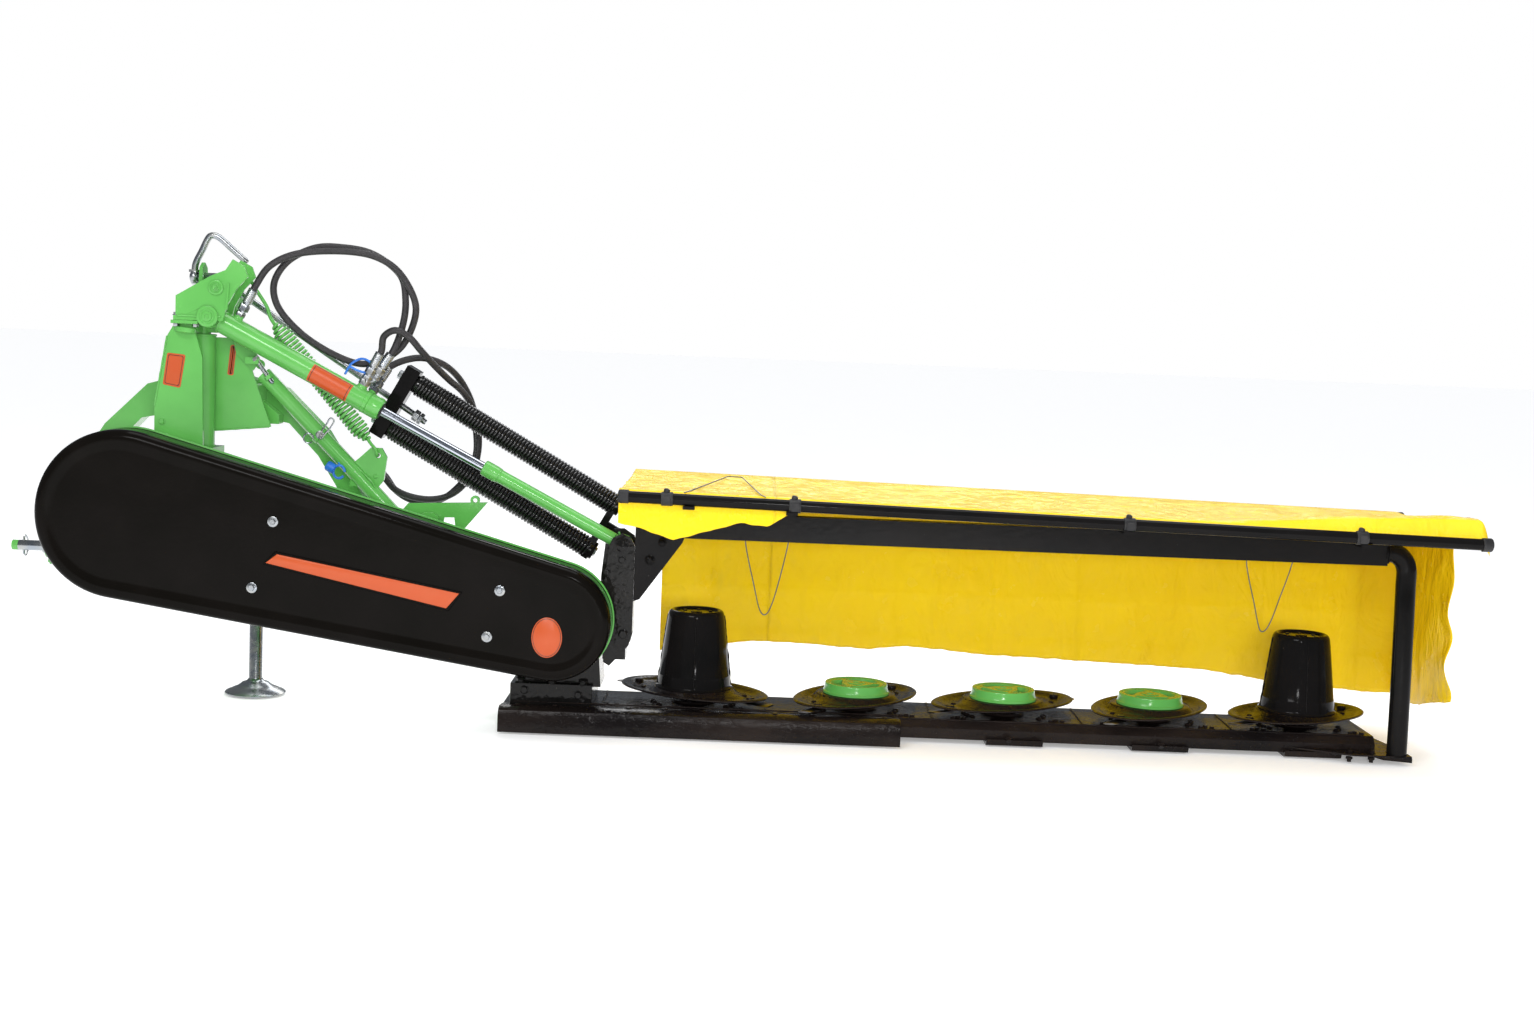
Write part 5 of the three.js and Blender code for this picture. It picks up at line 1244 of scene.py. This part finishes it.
def make_cap(index):
    """Green disc cap: rolled rim, three leaf recesses and a centre boss."""
    x0, base = DISC_X[index], DISC_TOP + 0.3
    top, lean = 27.9, radians(25 + 40 * index)

    def height(r, a):
        off = ((a - lean) * 180 / pi + 60) % 120 - 60
        wide = 16.5 * sqrt(max(0.0, 1 - (off / 50) ** 2))
        leaf = eased(share(wide - abs(r - 54), 0, 5))
        rim, boss, dip = eased(share(r, 74, 78)), eased(share(r, 25, 21)), share(r, 10, 7)
        return top - 2.4 - 8.5 * leaf + 2.4 * rim + 2.2 * boss - 4 * dip

    def ring(r, h):
        return [(x0 + r * cos(a), r * sin(a), base + (height(r, a) if h is None else h))
                for a in (2 * pi * k / CAP_SIDES for k in range(CAP_SIDES))]

    rings = [[(x0, 0, base + top - 4.2)]]
    rings += [ring(r, None) for r in (2, 6, 7, 8, 9, 10, 12, 18, 21, 22, 23, 24, 25, 28,
                                      *range(30, 84, 2))]
    rings += [ring(r, h) for r, h in ((83.4, 27.4), (84.2, 26.2), (84.9, 22), (87.4, 8.4),
                                      (88.6, 6.2), (90.2, 5.6), (90.3, 0.4), (89, 0))]
    shell = Shell().loft(rings)
    piece("cap_cover_%d" % index, shell, "disc_unit_%d" % (index + 1), GREEN,
          ("disc_cap_%d" % index,), smooth=50)


for index in (1, 2, 3):
    make_cap(index)

# ---- Canopy frame ----------------------------------------------------------
HOOP_X, HOOP_Z, HOOP_Y, HOOP_RADIUS = (-190, 2001), (640, 603), 345, 15


def hoop_z(x):
    return HOOP_Z[0] + (HOOP_Z[1] - HOOP_Z[0]) * (x - HOOP_X[0]) / (HOOP_X[1] - HOOP_X[0])


LEG_X, LEG_FOOT_Y = 1856, -192
leg = Shell()
leg.sweep(centripetal([
    (1796, -165, 556), (1812, -165, 556), (1830, -166, 551), (1846, -167, 537),
    (1855, -168, 516), (LEG_X, -170, 470), (LEG_X, -175, 400), (LEG_X, -190, 120),
    (LEG_X, LEG_FOOT_Y, 22.3)], 7), 26, sides=30)
piece("leg_tube", leg, "bar", BLACK, ("canopy_leg",), smooth=50)
leg_bits = Shell()
weld(leg_bits, arc((1803, -165, 556), AHEAD * 28.4, UP * 28.4, 30, 31), 3.2, 0.4)
weld(leg_bits, arc((LEG_X, LEG_FOOT_Y, 23.6), ALONG * 27.5, AHEAD * 27.5, 30, 31), 3.4, 0.4)
for x in (240, 1090, 1690):
    for y in (-186, -144):
        weld(leg_bits, [(x - 14, y, hoop_z(x) - 22), (x + 14, y, hoop_z(x) - 22)], 2.6)
weld(leg_bits, [(-43, -186.4, 524), (-43, -186.4, 586)], 3.4)
bolt(leg_bits, (-124, -147, 457), BACK, 12)
bolt(leg_bits, (-92, -160, 505), BACK, 10)
piece("canopy_welds", leg_bits, "bar", BLACK, smooth=60)

for name, y in (("rear", -HOOP_Y), ("front", HOOP_Y)):
    tube, caps = Shell(), Shell()
    route = [(x, y, hoop_z(x)) for x in range(-188, 1999, 27)] + [(2000, y, hoop_z(2000))]
    tube.sweep(route, HOOP_RADIUS, sides=26)
    piece("hoop_%s_tube" % name, tube, "bar", BLACK, ("canopy_%s_tube" % name,), smooth=50)
    for x, way in ((2009.5, -1), (-198.5, 1)):
        caps.lathe([(0, 0), (12, 0), (16, 2), (17.6, 5), (17.6, 26), (16.4, 27), (15, 27)],
                   (x, y, hoop_z(x)), (way, 0, 0), sides=28)
    if name == "rear":
        for x in (-75, 247, 1090, 1678):
            caps.lathe([(15.2, -15), (17.4, -14.4), (17.9, -12), (17.9, 12), (17.4, 14.4),
                        (15.2, 15)], (x, y, hoop_z(x)), ALONG, sides=28)
            caps.lathe([(0, 0), (7, 0), (8, 2), (8, 9), (5, 11), (0, 12)],
                       (x - 3, y, hoop_z(x) + 15), (0.3, 0, 1), sides=14)
            caps.block((x - 9, x + 9), (y - 21, y - 16), (hoop_z(x) - 13, hoop_z(x) + 8))
    piece("hoop_%s_caps" % name, caps, "bar", RUBBER, bevel=0.6, smooth=40)

hanging = Shell()
for points in (
        [(124, -146, 528), (126, -142, 509), (134, -140, 470), (152, -140, 400), (166, -140, 345),
         (174, -140, 328), (181, -140, 323), (189, -140, 327), (200, -140, 350), (216, -140, 410),
         (231, -140, 480), (237, -142, 514), (238, -146, 528)],
        [(1442, -146, 526), (1443, -142, 510), (1452, -140, 470), (1470, -140, 405),
         (1484, -140, 350), (1490, -140, 334), (1496, -140, 330), (1504, -140, 334),
         (1516, -140, 356), (1536, -140, 420), (1556, -140, 485), (1563, -142, 515),
         (1564, -146, 526)]):
    hanging.sweep(centripetal(points, 5), 1.6, sides=8)
piece("hanging_wires", hanging, "bar", STEEL, smooth=60)

# ---- Canopy cloth ----------------------------------------------------------
INNER_FLAP = [(-200, 70), (-173, 74), (-57, 106), (119, 53), (182, 60), (228, 27), (262, 16),
              (300, 14)]
HEM = [(-113, 132), (156, 172), (292, 171), (491, 160), (603, 174), (844, 156), (1161, 148),
       (1469, 139), (1634, 114), (1926, 93), (2011, 95)]
SKIRT_FROM, CLOTH_END, OVER_TUBE = -113, 2010, 17.2
TIED_Y, TOP_RUN, TOP_STEPS, FLAP_STEPS, SKIRT_STEPS = -324, 650, 54, 12, 48
RIBS = (-20, 240, 1090, 1690)                      # arms of the canopy, under the cloth


def table_at(steps, x):
    for (x0, z0), (x1, z1) in zip(steps, steps[1:]):
        if x <= x1:
            return z0 + (z1 - z0) * share(x, x0, x1)
    return steps[-1][1]


def ripple(x, z, seed, size):
    return noise.noise(Vector((x / size, z / size, seed)))


def cloth_column(x):
    """One strip of the cloth from its tied edge, over the top, down to the front hem."""
    z0 = hoop_z(x)
    end = share(x, CLOTH_END - 26, CLOTH_END)
    fall = 22 * (1 - sqrt(1 - end * end))
    flap = table_at(INNER_FLAP, x) + 5 * ripple(x, 0, 2.0, 40)
    strip = []
    for t in (k / FLAP_STEPS for k in range(FLAP_STEPS + 1)):
        depth = flap * (1 - t)
        out = -324.8 - 4.0 * (1 - t) * min(1.0, flap / 50)
        wave = 3.2 * ripple(x, depth, 5.0, 46) + 2.0 * ripple(x, depth, 6.0, 17)
        strip.append((out + wave * min(1, depth / 26), z0 - depth + 2))
    strip += [(-325.4, z0 + 8), (-327.5, z0 + 13), (TIED_Y, z0 + 16.4)]
    hang = min(1.0, min(abs(x - rib) for rib in RIBS) / 160)
    for k in range(1, TOP_STEPS):
        t = k / TOP_STEPS
        y = TIED_Y + TOP_RUN * t
        sag = 7.0 * hang * sin(pi * t) ** 0.8
        crease = 1.6 * swell(x, 560, 7) + 1.6 * swell(x, 1400, 7) + 1.8 * swell(y, -60, 8)
        pull = 5.0 * ripple(x, y * 1.6, 9.0, 80) + 2.2 * ripple(x, y, 11.0, 30)
        pull *= min(1.0, k / 6) * min(1.0, (TOP_STEPS - k) / 6)
        rise = 47 * eased(share(x, 1180, 1980)) * swell(y, -270, 120)
        strip.append((y, z0 + 17 - sag + crease + pull + rise * (1 - 0.85 * end * end)))
    for a in (radians(10 * k) for k in range(10)):
        strip.append((HOOP_Y + OVER_TUBE * sin(a), z0 + OVER_TUBE * cos(a)))
    hem = table_at(HEM, x) + 3.2 * ripple(x, 0, 21.0, 30) if x >= SKIRT_FROM else z0 - 40
    drop = z0 - hem
    for t in (k / SKIRT_STEPS for k in range(1, SKIRT_STEPS + 1)):
        z = z0 - drop * t
        grow = 0.25 + 0.75 * t
        wave = (17 * ripple(x, z * 0.3, 31.0, 190) + 8 * ripple(x, z * 0.45, 33.0, 74)
                + 2.4 * ripple(x, z, 35.0, 27)) * grow
        folds = sum(h * swell(x, c, 6.5) for c, h in (
            (40, 5.2), (305, -5.0), (570, 5.6), (835, -5.0), (1100, 5.2), (1365, -5.4),
            (1630, 5.4), (1895, -5.0)))
        folds += sum(h * swell(z, c, 6.0) for c, h in ((470, 3.6), (325, -4.2), (210, 3.4)))
        pucker = 5.0 * exp(-drop * t / 46) * sin(x / 19 + 2.4 * ripple(x, 0, 41.0, 130))
        if x < SKIRT_FROM:
            wave = folds = 0
        out = HOOP_Y + OVER_TUBE + (wave + folds) * min(1, drop * t / 45) + pucker * 0.35
        strip.append((out, z))
    return [(x + 2.5 * ripple(y, z, 51.0, 60) * end, y, z - fall * share(z, z0 - 80, z0 - 20))
            for y, z in strip]


xs = [-198, -194] + [-190 + 9.6 * k for k in range(8)] + [SKIRT_FROM - 0.6]
x = SKIRT_FROM
while x < CLOTH_END - 30:
    xs.append(x)
    x += 9.4
xs += [CLOTH_END - short for short in (26, 19, 13, 8, 4, 1.5, 0.3)]
GATHER, CLOTH_THICK = 205, 0.0014                  # cloth inside of x 205 is a piece of its own
last_inner = max(x for x in xs if x <= GATHER)
inner_end, cloth = (
    Shell().loft([cloth_column(x) for x in part], closed=False, caps=False)
    for part in ([x for x in xs if x <= GATHER], [x for x in xs if x >= last_inner]))

END_HEM = [(-80, 150), (20, 128), (100, 108), (180, 95), (300, 92), (362, 95)]
END_FREE, END_FIXED = -80, 361.5                   # y of the end curtain's free and tied edges
rows = []
for step in range(49):
    y = END_FIXED - (END_FIXED - END_FREE) * step / 48
    row = []
    free = share(y, END_FREE + 120, END_FREE)
    for k in range(45):
        t = k / 44
        top = hoop_z(CLOTH_END) - 6
        z = top + (table_at(END_HEM, y) + 4 * ripple(y, 0, 61.0, 36) - top) * t
        grow = (0.15 + 0.85 * t) * min(1, (END_FIXED - y) / 40)
        wave = (14 * ripple(y, z * 0.3, 63.0, 120) + 6 * ripple(y, z * 0.6, 65.0, 48)) * grow
        sway = 14.0 * free * free * sin(z / 25 + 1.2) * (0.12 + 0.88 * t)
        row.append((CLOTH_END - 1 + min(wave, 14) + sway, y + 5 * free * ripple(z, 0, 67.0, 50), z))
    rows.append(row)
cloth.loft(rows, closed=False, caps=False)
canopy = piece("canopy_cloth", cloth, "bar", CLOTH, ("canopy_sheet",), smooth=60, open_sheet=True)
gathered = piece("canopy_cloth_inner_end", inner_end, "bar", CLOTH, (), smooth=60, open_sheet=True)
for part in (canopy, gathered):
    thick = part.modifiers.new("thick", "SOLIDIFY")
    thick.thickness, thick.offset = CLOTH_THICK, 0.0
tuple(at(last_inner, 0, 640))
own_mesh(gathered)
laid = Shell().sweep([(x, y, hoop_z(x) + rise) for x, y, rise in (
    (-33, -345, 18), (-20, -320, 21), (68, 200, 22), (107, 200, 22), (160, -318, 21),
    (172, -345, 18))], 1.6, sides=6)
wire = piece("canopy_tie_wire", laid, "bar", STEEL)
tuple(at(last_inner, 0, 640))
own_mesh(wire)


# ---- Light, floor and background -------------------------------------------
def area_light(name, place, aim, size, power, shines=True):
    data = bpy.data.lights.new(name, "AREA")
    data.shape, data.energy = "RECTANGLE", power
    data.size, data.size_y = size
    light = bpy.data.objects.new(name, data)
    turn = (Vector(aim) - Vector(place)).to_track_quat("-Z", "Y").to_matrix().to_4x4()
    light.matrix_world = Matrix.Translation(place) @ turn
    light.visible_glossy = shines
    bpy.context.scene.collection.objects.link(light)


def make_studio():
    world = bpy.data.worlds.new("studio")
    bpy.context.scene.world = world
    world.use_nodes = True
    tree = world.node_tree

    def background(colour, strength):
        made = tree.nodes.new("ShaderNodeBackground")
        made.inputs["Color"].default_value = (*colour, 1.0)
        made.inputs["Strength"].default_value = strength
        return made

    def chosen(ray, others, these):
        """These for one kind of ray, and the others for the rest."""
        made = tree.nodes.new("ShaderNodeMixShader")
        for number, socket in enumerate((path.outputs[ray], others.outputs[0], these.outputs[0])):
            tree.links.new(socket, made.inputs[number])
        return made

    path = tree.nodes.new("ShaderNodeLightPath")
    lit, dim = background((0.97, 0.985, 1.0), 0.95), background((0.86, 0.92, 1.0), 0.22)
    around = chosen("Is Glossy Ray", lit, dim)
    seen = chosen("Is Camera Ray", around, background((1.0, 1.0, 1.0), 1.0))
    tree.links.new(seen.outputs[0], tree.nodes["World Output"].inputs["Surface"])
    area_light("key", (-1.8, -4.6, 3.6), (0.1, 0, 0.4), (2.0, 1.2), 100)
    area_light("front", (0.7, -5.8, 1.0), (0.9, 0.3, 0.30), (1.7, 0.9), 175, shines=False)
    area_light("flash", (0.3, -5.2, 2.1), (0.5, 0, 0.30), (0.35, 0.5), 30)
    area_light("over", (0.2, 0.4, 4.8), (0.2, 0, 0.3), (5.0, 2.2), 120)
    area_light("rim", (0.8, 4.6, 3.0), (0.2, 0, 0.5), (5.0, 1.4), 80)


def make_floor():
    mesh = bpy.data.meshes.new("studio_floor")
    half, height = 60.0, -0.0015
    corners = [(x * half, y * half, height) for x, y in ((-1, -1), (1, -1), (1, 1), (-1, 1))]
    mesh.from_pydata(corners, [], [(0, 1, 2, 3)])
    finish = Finish("studio_floor", (0.90, 0.90, 0.91), 0.6)
    finish.set("Roughness", finish.cloud(3.0) * 0.1 + 0.55)
    finish.set("Emission Color", (1.0, 0.99, 0.97, 1.0))
    finish.set("Emission Strength", 0.27)
    mesh.materials.append(finish.material)
    floor = bpy.data.objects.new("studio_floor", mesh)
    bpy.context.scene.collection.objects.link(floor)
    floor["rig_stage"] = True


make_studio()
make_floor()
bpy.context.scene.view_settings.view_transform = "Standard"

low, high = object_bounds()
{"cad": [list(cad_low), list(cad_high)], "visual": [list(low), list(high)]}
